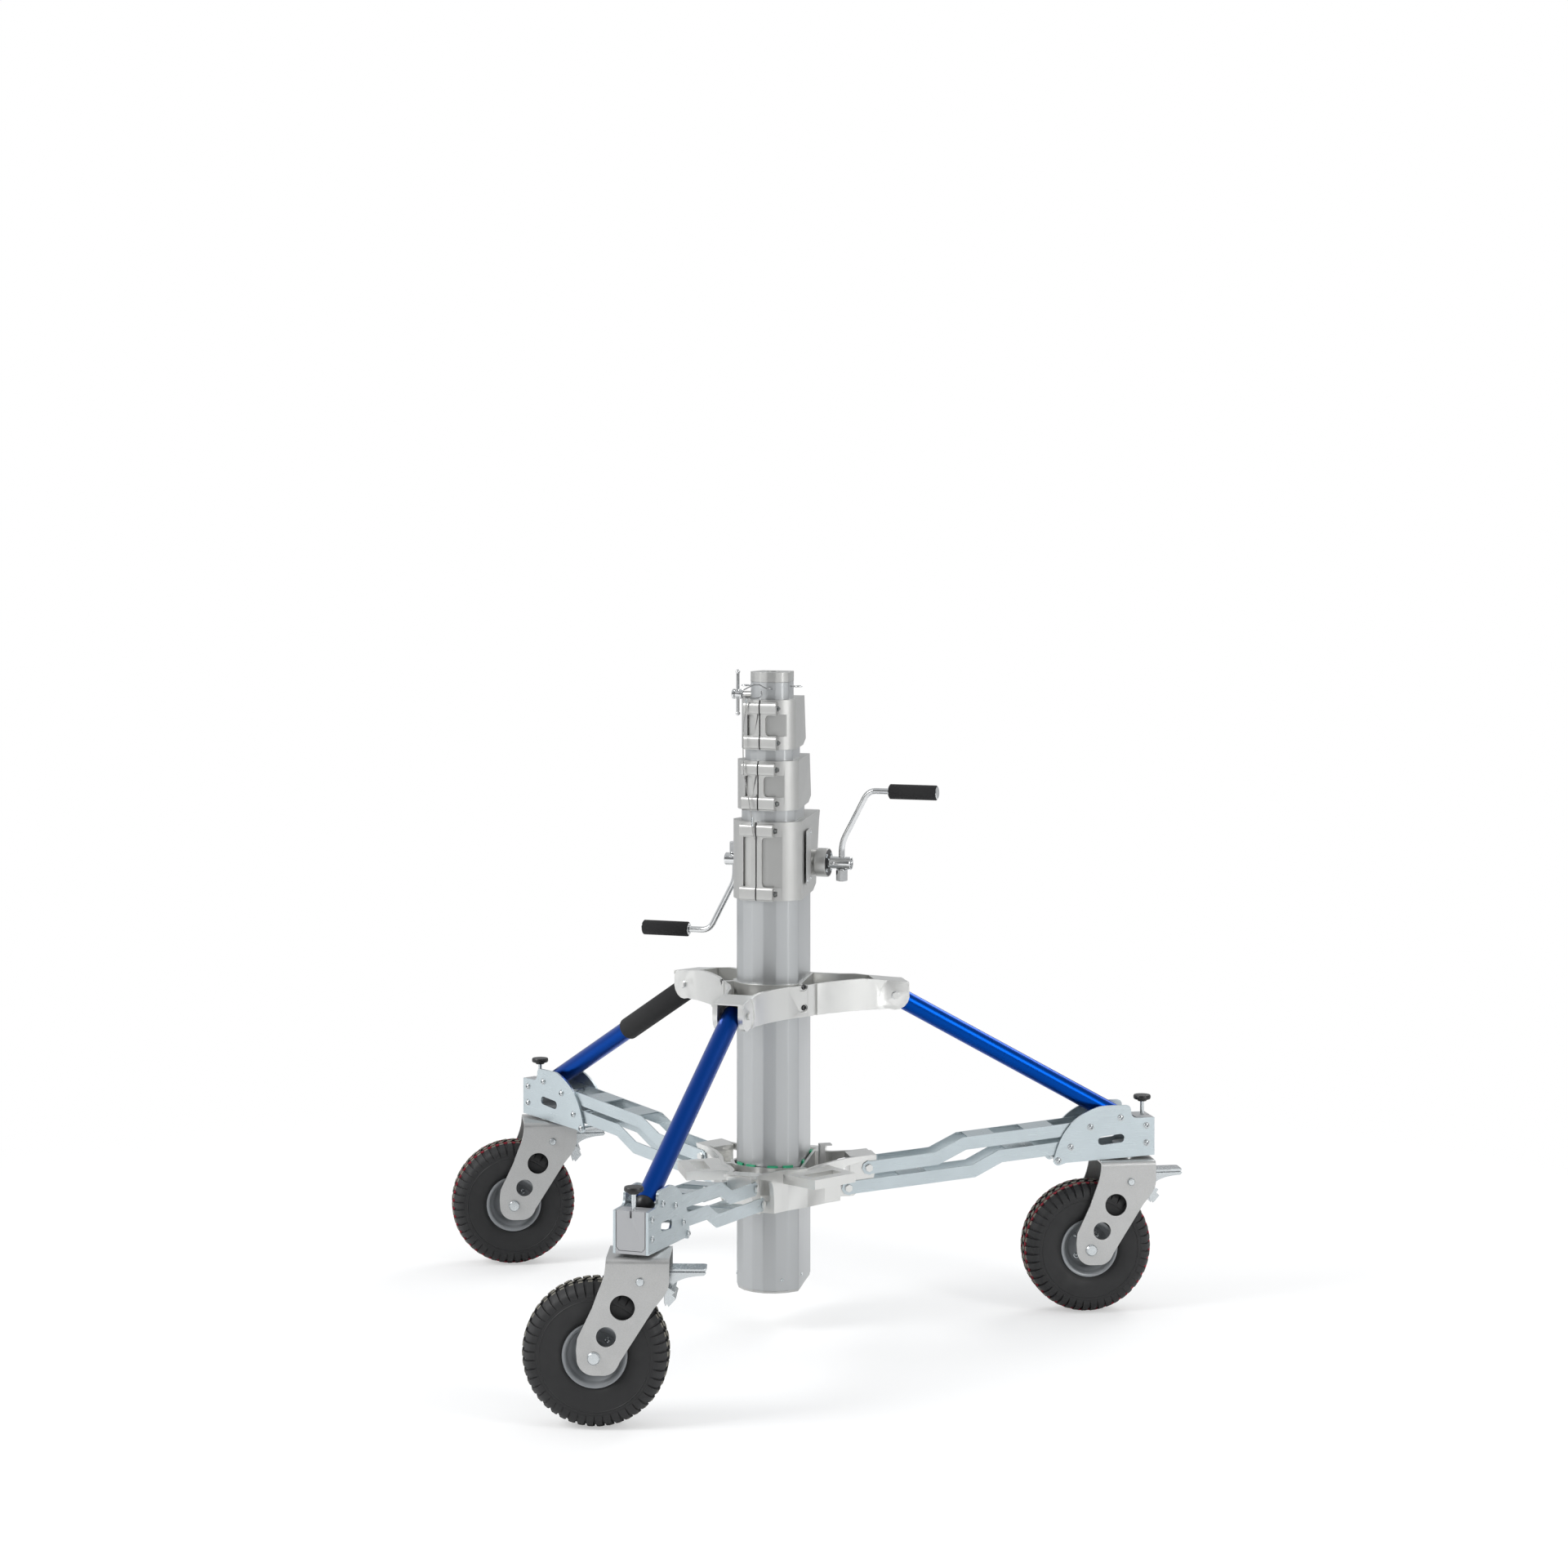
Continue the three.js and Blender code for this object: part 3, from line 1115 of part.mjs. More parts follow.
function buildLeg(leg, stand) {
  const group = new THREE.Group();
  group.rotation.z = leg.azimuth;
  stand.add(group);
  piece(group, `upper_bracket_${leg.name}`, upperArmSolid(leg.azimuth), castAlloy);
  piece(group, `upper_link_${leg.name}`, makeLink(upperLink, upperLinkReach, upperLinkHeight), zinc);
  piece(group, `lower_link_${leg.name}`, makeLink(lowerLink, lowerLinkReach, lowerLinkHeight), zinc);
  piece(group, `end_plate_a_${leg.name}`, makeBoltedPlate(), zinc);
  piece(group, `end_plate_b_${leg.name}`, makeHoledPlate(), zinc);
  piece(group, `end_block_${leg.name}`, makeEndBlock(), blockPaint);
  piece(group, `strut_${leg.name}`, makeStrut(), blueTube);
  piece(group, `lock_knob_${leg.name}`, makeKnob(), blackPlastic);
  if (leg.name === 'left') {
    piece(group, 'strut_foam_grip', makeFoamGrip(), foam);
  }
  if (leg.name === 'right') {
    piece(group, 'release_latch', makeLatch(), galvanised);
  }
  buildCastor(leg, group);
}

// The stand is centred over its own footprint and stands on z = 0
const stand = new THREE.Group();
buildMast(stand);
buildCranks(stand);
buildBrackets(stand);
for (const leg of legs) {
  buildLeg(leg, stand);
}
stand.updateMatrixWorld(true);
const footprint = new THREE.Box3().setFromObject(stand, true);
const middle = footprint.getCenter(new THREE.Vector3());
stand.position.set(-middle.x, -middle.y, -footprint.min.z);
stand.updateMatrixWorld(true);

export default stand;
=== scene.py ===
"""Dresses a crank-up roller stand for lights: mast, folding base, castors and cranks."""

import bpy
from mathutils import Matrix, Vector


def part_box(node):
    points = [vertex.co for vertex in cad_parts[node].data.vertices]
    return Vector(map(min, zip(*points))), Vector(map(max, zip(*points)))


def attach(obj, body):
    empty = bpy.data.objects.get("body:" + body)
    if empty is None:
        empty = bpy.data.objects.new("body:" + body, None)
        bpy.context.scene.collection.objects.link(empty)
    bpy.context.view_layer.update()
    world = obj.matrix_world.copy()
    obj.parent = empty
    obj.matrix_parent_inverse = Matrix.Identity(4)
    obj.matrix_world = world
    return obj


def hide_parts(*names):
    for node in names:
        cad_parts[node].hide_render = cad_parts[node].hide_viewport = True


bl_info = {
    "name": "Roller stand",
    "version": (1, 0, 0),
    "blender": (4, 5, 0),
    "location": "View3D > Sidebar > Stand",
    "description": "Builds the visible pieces of a roller stand for lights around its CAD frame",
    "category": "Object",
}

from collections import namedtuple
from math import atan2, cos, pi, sin, sqrt, tan

import bmesh
import bpy
from mathutils import Matrix, Vector

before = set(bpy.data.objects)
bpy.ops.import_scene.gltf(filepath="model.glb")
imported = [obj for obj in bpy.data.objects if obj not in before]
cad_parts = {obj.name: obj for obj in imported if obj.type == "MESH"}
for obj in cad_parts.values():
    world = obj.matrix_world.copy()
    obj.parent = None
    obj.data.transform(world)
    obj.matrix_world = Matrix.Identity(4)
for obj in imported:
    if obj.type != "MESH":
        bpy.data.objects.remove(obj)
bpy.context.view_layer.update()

# Everything below is in millimetres until a piece is finished
MM = 0.001
DEG = pi / 180
WHOLE_TURN = 2 * pi
MERGE = 0.0005
SIDES = (-1, 1)
ALONG_X, ALONG_Y = (1, 0, 0), (0, 1, 0)

# The camera fitted to the photograph, and the pixel that it looks at in a square picture
VIEW_AZIMUTH = 18.7 * DEG
VIEW_DISTANCE = 6458.44
VIEW_HEIGHT = 1668.44
VIEW_ASIDE = 7.92
LENS, SENSOR = 75.318, 36
PICTURE = 1920
VIEW_CENTRE = (951.6, 592.9)

# Lamps: place and size in metres, and their share of the power
LAMPS = (
    ("key light", (-3.6, -3.2, 3.6), (2.2, 3.0), 1.0),
    ("fill light", (4.4, -1.6, 2.4), (1.2, 2.8), 0.4),
    ("rear light", (1.5, 4.2, 3.6), (2.4, 2.0), 0.4),
)

# Brightness of the room's walls, by degrees from the camera's side, and of its ceiling
WALLS = (
    (-180, 0.7), (-150, 1.0), (-108, 1.15), (-62, 0.5), (-30, 0.2), (0, 0.22), (25, 0.45), (45, 0.55),
    (75, 0.5), (110, 0.7), (164, 0.45), (180, 0.7),
)
CEILING = 0.8

# The mast's axis, found from the frame: heights are counted from a datum below the column's end
COLUMN_END = 97.0
KNOB = 757.4
knob_low, knob_high = (Vector(corner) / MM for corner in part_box("lock_knob_front"))
knob_centre = (knob_low + knob_high) / 2
column_low = Vector(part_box("column_outer")[0]) / MM
AXIS = Vector((knob_centre.x, knob_centre.y + KNOB, column_low.z - COLUMN_END))
MAST = Matrix.Translation(AXIS)

# Azimuth of each leg, and the way in which its castor trails
LEGS = {"front": -90 * DEG, "right": 30 * DEG, "left": 150 * DEG}
TRAILING = {"front": 197 * DEG, "right": 207 * DEG, "left": 206 * DEG}

# Mast sections: front radius, rear distance, foot, top, wall and body
MAST_CORNER = 69 * DEG
MAST_TWIST = 6.3
MAST_TAPER = 10.6 * DEG
MAST_FLATS = 7
SECTIONS = {
    "column_outer": (72.0, 108.6, COLUMN_END, 1003.0, 4.0, "column"),
    "section_2": (62.25, 81.0, 112.3, 1121.3, 3.5, "mast_2"),
    "section_3": (55.25, 57.0, 112.3, 1240.0, 3.5, "mast_3"),
    "section_4": (44.25, 33.0, 112.3, 1280.4, 3.5, "mast_4"),
}
# Screws in the column's foot: the way they face, their distance from the axis, and how far aside
FOOT_SCREWS = ((-56.9, 71.0, 0), (-155.4, 71.0, 0), (8.8, 58.2, -9.4), (171.2, 58.2, 9.4))

Collar = namedtuple("Collar", "front taper rear_top rear_foot foot top carrier inner body")
COLLARS = {
    "collar_1": Collar(78.0, 10.8 * DEG, 203.0, 156.0, 857.0, 1010.0, "column_outer", "section_2", "column"),
    "collar_2": Collar(69.6, 12.4 * DEG, 145.0, 166.0, 1032.0, 1128.3, "section_2", "section_3", "mast_2"),
    "collar_3": Collar(61.6, 12.3 * DEG, 105.0, 126.0, 1150.0, 1247.0, "section_3", "section_4", "mast_3"),
}
COLLAR_SPAN = 71
CAP = 6.0
CLAMP_SLOT = 3.0
CHAMFER_DEPTH, CHAMFER_HEIGHT = 40.0, 10.0

SHAFT_BEHIND, SHAFT_HEIGHT = 94.0, 916.4

# Folding base, in the plane of each leg: outward and up
UPPER_PIVOT = (240.2, 659.7)
STRUT_FOOT = (703.1, 400.4)
UPPER_LINK_ROOT = (187.3, 320.6)
LOWER_LINK_ROOT = (146.1, 282.3)
LINK_SPAN = (452.9, 63.6)
NOSE = (573.2, 320.0)
BLOCK_BOLTS = ((756.4, 383.2), (756.4, 348.6))
BOX_END, BOX_FOOT = 773.0, 324.0
SEAM_FACE = 102.2
KINGPIN = 719.8
TRAIL = 80.0
AXLE_HEIGHT = 142.5
BRAKE_PIVOT = (81, 134)

# Wires in the mast's frame, their points chosen as the solids have them
CLIP = [
    (12, -40.5, 1267.8), (12.4, -44.9, 1268.1), (10.5, -49.2, 1268.6), (3.1, -52.3, 1269.6),
    (-3.7, -54.6, 1273.3), (-8.9, -56.3, 1276.5), (-17.9, -59.4, 1276.8), (-29.5, -63.3, 1271.4),
    (-38.3, -66.3, 1266.6), (-41.1, -67.2, 1260.7), (-39.5, -66.7, 1254.5), (-34, -64.8, 1250.8),
    (-27.1, -62.5, 1251.4), (-18, -59.4, 1250), (-9.7, -56.6, 1251), (-4.7, -54.9, 1257.5),
    (-5.9, -55.3, 1264.8),
]
LANYARD = [
    (-33.3, -64.6, 1249.2), (-33.4, -64.6, 1240.8), (-34.2, -65.4, 1224.8), (-36.4, -66.7, 1212.1),
    (-37.9, -67.7, 1200.5), (-38.8, -69.6, 1174.2), (-37.7, -71.3, 1145.8), (-36.7, -72.6, 1123.6),
    (-35.2, -73.7, 1103.3), (-29.5, -74.9, 1077.3), (-23.8, -76.7, 1051.2), (-19.2, -79.3, 1028.9),
    (-15.8, -81.6, 1019.6), (-14.9, -82.8, 1002.4), (-13, -83.3, 988.4), (-9.8, -83.3, 977.4),
]
CLIP_RADIUS, ROPE_RADIUS = 1.2, 1


def linear(code):
    """A hex colour as linear red, green and blue."""
    channels = [int(code[i:i + 2], 16) / 255 for i in (1, 3, 5)]
    return tuple(c / 12.92 if c <= 0.04045 else ((c + 0.055) / 1.055) ** 2.4 for c in channels)


class StandSettings(bpy.types.PropertyGroup):
    lugs: bpy.props.IntProperty(
        name="Tread blocks", description="Blocks round one side of a tyre", default=46, min=12)
    tread_depth: bpy.props.FloatProperty(
        name="Tread depth", description="Height of the tread blocks in millimetres", default=3.6, min=0.5)
    strut_colour: bpy.props.FloatVectorProperty(
        name="Struts", description="Colour of the anodised struts", subtype="COLOR",
        default=linear("#054096"))
    casting_colour: bpy.props.FloatVectorProperty(
        name="Castings", description="Colour of the cast aluminium", subtype="COLOR",
        default=linear("#b9b9b7"))
    column_colour: bpy.props.FloatVectorProperty(
        name="Mast", description="Colour of the anodised sections", subtype="COLOR",
        default=linear("#b3b5b6"))
    zinc_colour: bpy.props.FloatVectorProperty(
        name="Zinc plate", description="Colour of the zinc plated sheet", subtype="COLOR",
        default=linear("#c3cdd1"))
    lamp_power: bpy.props.FloatProperty(
        name="Key light", description="Power of the main soft light", default=210.0, min=0, unit="POWER")


def settings():
    return bpy.context.scene.roller_stand


# Materials


def grain(size, detail=2.0, roughness=0.5, stretch=(1, 1, 1)):
    """Noise that is size millimetres across, drawn out along an axis by stretch."""
    return size, detail, roughness, stretch


# Looks: the slot, the material and how it was made, its light colour (a code or a setting) with the dark
# one or its share of the light one, metallic, the ends of its roughness, the grains of colour, sheen and
# relief (the last one serves for those not given), and the relief's depth in millimetres and strength
LOOKS = {
    # Faint lines run up the bar and the sheen is even
    "anodised": ("anodised", "clear anodised aluminium, extruded", ("column_colour", 0.93), 0.85,
                 (0.36, 0.44), [grain(1.2, stretch=(1, 1, 160))], (0.02, 0.4)),
    # A fine even grain scatters the light
    "blasted": ("casting", "die cast aluminium, blasted", ("casting_colour", 0.93), 0.9,
                (0.34, 0.46), [grain(35), grain(0.9, 3)], (0.05, 0.5)),
    # Long soft scratches on a warm grey
    "ground": ("casting", "cast aluminium, belt ground", ("casting_colour", 0.92, 1.45), 0.9,
               (0.26, 0.38), [grain(45), grain(0.8, 3, stretch=(1, 1, 0.02))], (0.03, 0.35)),
    # Blue-grey, with cloudy patches and rolling lines
    "zinc": ("zinc", "bright zinc plated steel, rolled", ("zinc_colour", 0.84), 0.92,
             (0.26, 0.38), [grain(60, 3), grain(1.0, stretch=(60, 60, 1))], (0.02, 0.4)),
    # Small, clean and mirror-like
    "bolt": ("zinc", "bright zinc plated steel, forged", ("#d2d6d8", "#aeb3b5"), 0.95,
             (0.18, 0.3), [grain(2.5)], None),
    # Dark grey with a dull oily sheen
    "black_steel": ("zinc", "alloy steel, blackened", ("#5a5a5a", "#3a3a3b"), 0.8,
                    (0.3, 0.42), [grain(3)], None),
    # Warm grey with a speckled grain
    "galvanised": ("galvanised", "galvanised steel, pressed", ("#cccccb", "#a4a4a3"), 0.85,
                   (0.38, 0.52), [grain(1.6, 4, 0.7), grain(30), grain(1.6, 4, 0.7)], (0.05, 0.6)),
    # A soft satin skin
    "rim_paint": ("rim_paint", "pressed steel, grey paint", ("#8e9194", 0.95), 0.25,
                  (0.34, 0.42), [grain(1.4)], (0.02, 0.5)),
    # The same satin, lighter than the rims
    "block_paint": ("block_paint", "folded steel, light grey paint", ("#a7a8aa", 0.95), 0.25,
                    (0.34, 0.42), [grain(1.4)], (0.02, 0.5)),
    # Dyed blue: a metal sheen under a deep colour
    "blue_tube": ("blue_tube", "blue anodised aluminium, drawn", ("strut_colour", 0.9), 1.0,
                  (0.28, 0.34), [grain(0.8, 3)], (0.01, 0.25)),
    # Carbon black, nearly matt
    "tyre": ("tyre_rubber", "black rubber, moulded", ("#222223", "#171718"), 0.0,
             (0.55, 0.72), [grain(25, 3), grain(25, 3), grain(0.9, 3)], (0.06, 0.5)),
    # The top of the tread, which has rolled on dusty ground: a warm grey
    "worn_tyre": ("tyre_rubber", "black rubber, dusty", ("#817d72", "#57544b"), 0.0,
                  (0.65, 0.85), [grain(14, 3)], None),
    # The thin line that zigzags round the tread
    "red_line": ("tyre_rubber", "red rubber, moulded", ("#b02f40", "#8a1c2c"), 0.0,
                 (0.6, 0.6), [grain(8)], None),
    # Open pores and no gloss; the pores are drawn 0.9 mm wide, or they would not show
    "foam": ("foam", "black foam, cut", ("#242425", "#111112"), 0.0,
             (0.85, 1.0), [grain(0.9, 3, 0.7)], (0.35, 0.8)),
    # A bright mirror with hardly any haze
    "chromed": ("chromed", "chromed steel, polished", ("#dcdddd", "#c3c4c5"), 1.0,
                (0.08, 0.16), [grain(12)], None),
    # A satin skin with fine grain
    "black_plastic": ("black_plastic", "black ABS, moulded", ("#1f1f21", "#141415"), 0.0,
                      (0.34, 0.46), [grain(0.6, 3)], (0.03, 0.5)),
    # Waxy and slightly mottled
    "green_plastic": ("green_plastic", "green acetal, moulded", ("#1fa878", "#12805a"), 0.0,
                      (0.35, 0.5), [grain(9)], None),
    # Darker than the chrome, with a soft mirror
    "spring_steel": ("chromed", "spring steel, nickel plated", ("#b5b6b6", "#8d8e8f"), 1.0,
                     (0.16, 0.26), [grain(6)], None),
    # Thin bright strands, drawn as a ripple along the rope
    "steel_rope": ("chromed", "stainless steel, laid rope", ("#b7b7b5", "#7d7d7c"), 0.9,
                   (0.25, 0.45), [grain(1.0, 1)], (0.2, 0.8)),
}
NOISE_RANGE = (0.3, 0.7)


def set_inputs(tree, node, inputs):
    """Links an input to what is a socket, and sets it to what is a value."""
    for name, value in inputs.items():
        if isinstance(value, bpy.types.NodeSocket):
            tree.links.new(value, node.inputs[name])
        else:
            node.inputs[name].default_value = value


def add_node(tree, kind, inputs=None, **choices):
    """Adds a node, sets its options, and fills or links its inputs."""
    node = tree.nodes.new(kind)
    for name, value in choices.items():
        setattr(node, name, value)
    set_inputs(tree, node, inputs or {})
    return node


def start_material(name):
    material = bpy.data.materials.new(name)
    material.use_nodes = True
    return material, material.node_tree, material.node_tree.nodes["Principled BSDF"]


def object_pattern(tree, size, detail, roughness, stretch):
    place = add_node(tree, "ShaderNodeTexCoord").outputs["Object"]
    scale = tuple(1 / part for part in stretch)
    place = add_node(tree, "ShaderNodeMapping", {"Vector": place, "Scale": scale}).outputs["Vector"]
    return add_node(tree, "ShaderNodeTexNoise", {
        "Vector": place, "Scale": 1 / (size * MM), "Detail": detail, "Roughness": roughness,
    }).outputs["Fac"]


def shade(colour, factor=1.0):
    return tuple(channel * factor for channel in colour)


def surface(look):
    """The material of a look, made when it is first asked for."""
    name, (light, dark, *factor), metallic, (low, high), grains, relief = LOOKS[look][1:]
    material = bpy.data.materials.get(name)
    if material:
        return material
    material, tree, shader = start_material(name)
    light = shade(linear(light) if light[0] == "#" else getattr(settings(), light), *factor)
    dark = linear(dark) if isinstance(dark, str) else shade(light, dark)
    noise = {kind: object_pattern(tree, *kind) for kind in dict.fromkeys(grains)}
    of_colour, of_sheen, of_relief = (noise[kind] for kind in (*grains, grains[-1], grains[-1])[:3])
    inputs = {"Metallic": metallic, "Roughness": low}
    inputs["Base Color"] = add_node(tree, "ShaderNodeMix", {
        "Factor": of_colour, "A": (*dark, 1), "B": (*light, 1)}, data_type="RGBA").outputs["Result"]
    if high > low:
        inputs["Roughness"] = add_node(tree, "ShaderNodeMapRange", {
            "Value": of_sheen, "From Min": NOISE_RANGE[0], "From Max": NOISE_RANGE[1],
            "To Min": low, "To Max": high}).outputs["Result"]
    if relief:
        depth, strength = relief
        inputs["Normal"] = add_node(tree, "ShaderNodeBump", {
            "Height": of_relief, "Distance": depth * MM, "Strength": strength}).outputs["Normal"]
    set_inputs(tree, shader, inputs)
    return material


# Outlines: lists of points


def arc(centre, radius, start, end, steps):
    """Points on a circle from one angle to another, in degrees."""
    angles = [(start + (end - start) * i / steps) * DEG for i in range(steps + 1)]
    return [(centre[0] + radius * cos(a), centre[1] + radius * sin(a)) for a in angles]


def circle(centre, radius, sides=32):
    return arc(centre, radius, 0, 360, sides)[:-1]


def oval(near, far, level, radius, steps=12):
    """A slot's outline, its round ends centred at near and far."""
    return [*arc((far, level), radius, -90, 90, steps), *arc((near, level), radius, 90, 270, steps)]


def curve_points(start, control, end, steps):
    points = []
    for i in range(steps + 1):
        t = i / steps
        points.append(tuple((1 - t) ** 2 * a + 2 * t * (1 - t) * b + t * t * c
                            for a, b, c in zip(start, control, end)))
    return points


def smooth_corners(points, radius, steps=4):
    """An outline with each corner rounded by up to a radius."""
    rounded = []
    for i, corner in enumerate(points):
        corner = Vector(corner)
        before, after = Vector(points[i - 1]), Vector(points[(i + 1) % len(points)])
        reach = min(radius, (before - corner).length * 0.45, (after - corner).length * 0.45)
        start = corner + (before - corner).normalized() * reach
        end = corner + (after - corner).normalized() * reach
        rounded += curve_points(start, corner, end, steps)
    return rounded


def rounded_box(left, low, right, high, radius, steps=4):
    return smooth_corners([(left, low), (right, low), (right, high), (left, high)], radius, steps)


def flipped(profile, side=-1):
    return [(radius, side * along) for radius, along in profile]


def side_at(front, corner, taper, behind):
    return front * sin(corner) - (behind + front * cos(corner)) * tan(taper)


def grown(name, by):
    """The outline of a mast section, moved out by a distance."""
    front, rear = (size + by for size in SECTIONS[name][:2])
    points = []
    for i in range(MAST_FLATS + 1):
        angle = -MAST_CORNER - MAST_TWIST * DEG + 2 * MAST_CORNER * i / MAST_FLATS
        points.append((front * sin(angle), -front * cos(angle)))
    side = side_at(front, MAST_CORNER, MAST_TAPER, rear)
    return smooth_corners([*points, (side, rear), (-side, rear)], 2.5, 3)


# Shapes, in millimetres, each a bmesh of one or more closed shells


def to_mesh(bm, name):
    mesh = bpy.data.meshes.new(name)
    bm.to_mesh(mesh)
    bm.free()
    return mesh


def from_mesh(mesh):
    """A mesh as a bmesh; the mesh is used up."""
    bm = bmesh.new()
    bm.from_mesh(mesh)
    bpy.data.meshes.remove(mesh)
    return bm


def show(name, data):
    thing = bpy.data.objects.new(name, data)
    bpy.context.scene.collection.objects.link(thing)
    return thing


def tidy(bm):
    bmesh.ops.remove_doubles(bm, verts=bm.verts, dist=MERGE)
    bmesh.ops.recalc_face_normals(bm, faces=bm.faces)
    return bm


def turn(bm, matrix):
    bmesh.ops.transform(bm, matrix=matrix, verts=bm.verts)
    if matrix.determinant() < 0:
        bmesh.ops.reverse_faces(bm, faces=bm.faces)
    return bm


def aimed(place, way, track="Z"):
    """A frame at a place, with one of its axes along a way."""
    return Matrix.Translation(place) @ Vector(way).to_track_quat(track, "Y").to_matrix().to_4x4()


def prism(points, foot, top, holes=()):
    """An outline seen from above, raised from foot to top, with holes through it."""
    bm = bmesh.new()
    for loop in (points, *holes):
        corners = [bm.verts.new((x, y, foot)) for x, y in loop]
        for i, corner in enumerate(corners):
            bm.edges.new((corners[i - 1], corner))
    if holes:
        bmesh.ops.triangle_fill(bm, use_beauty=True, edges=bm.edges, normal=(0, 0, 1))
        bmesh.ops.dissolve_limit(bm, angle_limit=DEG, verts=bm.verts, edges=bm.edges)
    else:
        bm.faces.new(list(bm.verts))
    raised = bmesh.ops.extrude_face_region(bm, geom=list(bm.faces))
    moved = [item for item in raised["geom"] if isinstance(item, bmesh.types.BMVert)]
    bmesh.ops.translate(bm, verts=moved, vec=(0, 0, top - foot))
    return tidy(bm)


def slab(points, start, end, holes=()):
    """An outline in the plane of a leg (outward, up), thick from start to end across it."""
    return turn(prism(points, -end, -start, holes), Matrix.Rotation(pi / 2, 4, "X"))


def crosswise(points, start, end, holes=()):
    """An outline seen along the leg (sideways, up), long from start to end."""
    return turn(slab(points, -end, -start, holes), Matrix.Rotation(pi / 2, 4, "Z"))


def block(low, high):
    low, high = Vector(low), Vector(high)
    bm = bmesh.new()
    bmesh.ops.create_cube(
        bm, size=1, matrix=Matrix.Translation((low + high) / 2) @ Matrix.Diagonal((*(high - low), 1)))
    return bm


def rod(radius, start, end, sides=32):
    start, end = Vector(start), Vector(end)
    bm = bmesh.new()
    bmesh.ops.create_cone(bm, cap_ends=True, segments=sides, radius1=radius, radius2=radius,
                          depth=(end - start).length, matrix=aimed((start + end) / 2, end - start))
    return bm


def lathe(profile, sides=48, start=(0, 0, 0), axis=(0, 0, 1)):
    """A profile of (radius, along) points, turned about an axis through start."""
    bm = bmesh.new()
    corners = [bm.verts.new((radius, 0, along)) for radius, along in profile]
    edges = [bm.edges.new(pair) for pair in zip(corners, corners[1:])]
    if profile[0][0] > 0 and profile[-1][0] > 0:
        edges.append(bm.edges.new((corners[-1], corners[0])))
    bmesh.ops.spin(bm, geom=corners + edges, cent=(0, 0, 0), axis=(0, 0, 1), angle=WHOLE_TURN,
                   steps=sides, use_merge=True)
    return turn(tidy(bm), aimed(start, axis))


def bolt_head(place, out, radius, height):
    """A domed head with a hexagon socket, on a washer."""
    rim = height * 0.45
    dome = [(radius * cos(a * DEG), rim + (height - rim) * sin(a * DEG)) for a in range(0, 61, 15)]
    return lathe([(0, 0), (radius * 1.25, 0), (radius * 1.25, 1), (radius, 1.2), *dome,
                  (radius * 0.45, height), (radius * 0.45, height * 0.3), (0, height * 0.3)],
                 24, place, out)


def button_screw(place, out, radius, height=2.0):
    """A low domed screw with a socket."""
    return lathe([(0, 0), (radius, 0), (radius, height * 0.4), (radius * 0.8, height * 0.85),
                  (radius * 0.45, height), (radius * 0.4, height * 0.4), (0, height * 0.4)],
                 20, place, out)


def wire(name, points, radius, resolution=3):
    """A round wire through points."""
    line = bpy.data.curves.new(name, "CURVE")
    line.dimensions = "3D"
    line.bevel_depth = radius
    line.bevel_resolution = resolution
    line.use_fill_caps = True
    spline = line.splines.new("POLY")
    spline.points.add(len(points) - 1)
    for target, point in zip(spline.points, points):
        target.co = (*point, 1)
    return show(name, line)


def carve(base, tools, how="DIFFERENCE"):
    """Cuts the tools from the base, or joins or meets it with them."""
    whole, *cutters = (show("shape", to_mesh(shape, "shape")) for shape in (base, *tools))
    for cutter in cutters:
        step = whole.modifiers.new("carve", "BOOLEAN")
        step.object = cutter
        step.operation = how
        step.solver = "EXACT"
    bpy.context.view_layer.update()
    carved = whole.evaluated_get(bpy.context.evaluated_depsgraph_get())
    bm = from_mesh(bpy.data.meshes.new_from_object(carved))
    for used in (whole, *cutters):
        mesh = used.data
        bpy.data.objects.remove(used)
        bpy.data.meshes.remove(mesh)
    bmesh.ops.remove_doubles(bm, verts=bm.verts, dist=MERGE)
    return bm


# Pieces


def hand_over(piece, body, look, node):
    """Gives a piece its material, says its body, and hides the CAD node in whose place it stands."""
    piece.data.materials.append(surface(look))
    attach(piece, body)
    if node:
        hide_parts(node)


def finish(shapes, name, body, look, node=None, place=None, rounding=0.0, smooth=38):
    """Makes shapes one piece of that name; they are used up."""
    whole, *rest = shapes
    for shape in rest:
        mesh = to_mesh(shape, "joining")
        whole.from_mesh(mesh)
        bpy.data.meshes.remove(mesh)
    if place is not None:
        turn(whole, place)
    bmesh.ops.scale(whole, vec=(MM, MM, MM), verts=whole.verts)
    mesh = to_mesh(whole, name)
    mesh.shade_smooth()
    mesh.set_sharp_from_angle(angle=smooth * DEG)
    piece = show(name, mesh)
    if rounding:
        edge = piece.modifiers.new("edges", "BEVEL")
        edge.width = rounding * MM
        edge.segments = 2
        edge.limit_method = "ANGLE"
        edge.angle_limit = 30 * DEG
        edge.use_clamp_overlap = True
        edge.harden_normals = True
    hand_over(piece, body, look, node)


def copy_node(node):
    """A CAD solid as a merged bmesh in millimetres, its facets joined where they are flat."""
    bm = bmesh.new()
    bm.from_mesh(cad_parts[node].data)
    bmesh.ops.scale(bm, vec=(1 / MM, 1 / MM, 1 / MM), verts=bm.verts)
    bmesh.ops.remove_doubles(bm, verts=bm.verts, dist=0.002)
    bmesh.ops.dissolve_limit(bm, angle_limit=0.5 * DEG, verts=bm.verts, edges=bm.edges)
    return bm


def dress(node, body, look, rounding):
    finish([copy_node(node)], node + "_skin", body, look, node, rounding=rounding)


def leg_place(azimuth):
    return MAST @ Matrix.Rotation(azimuth, 4, "Z")


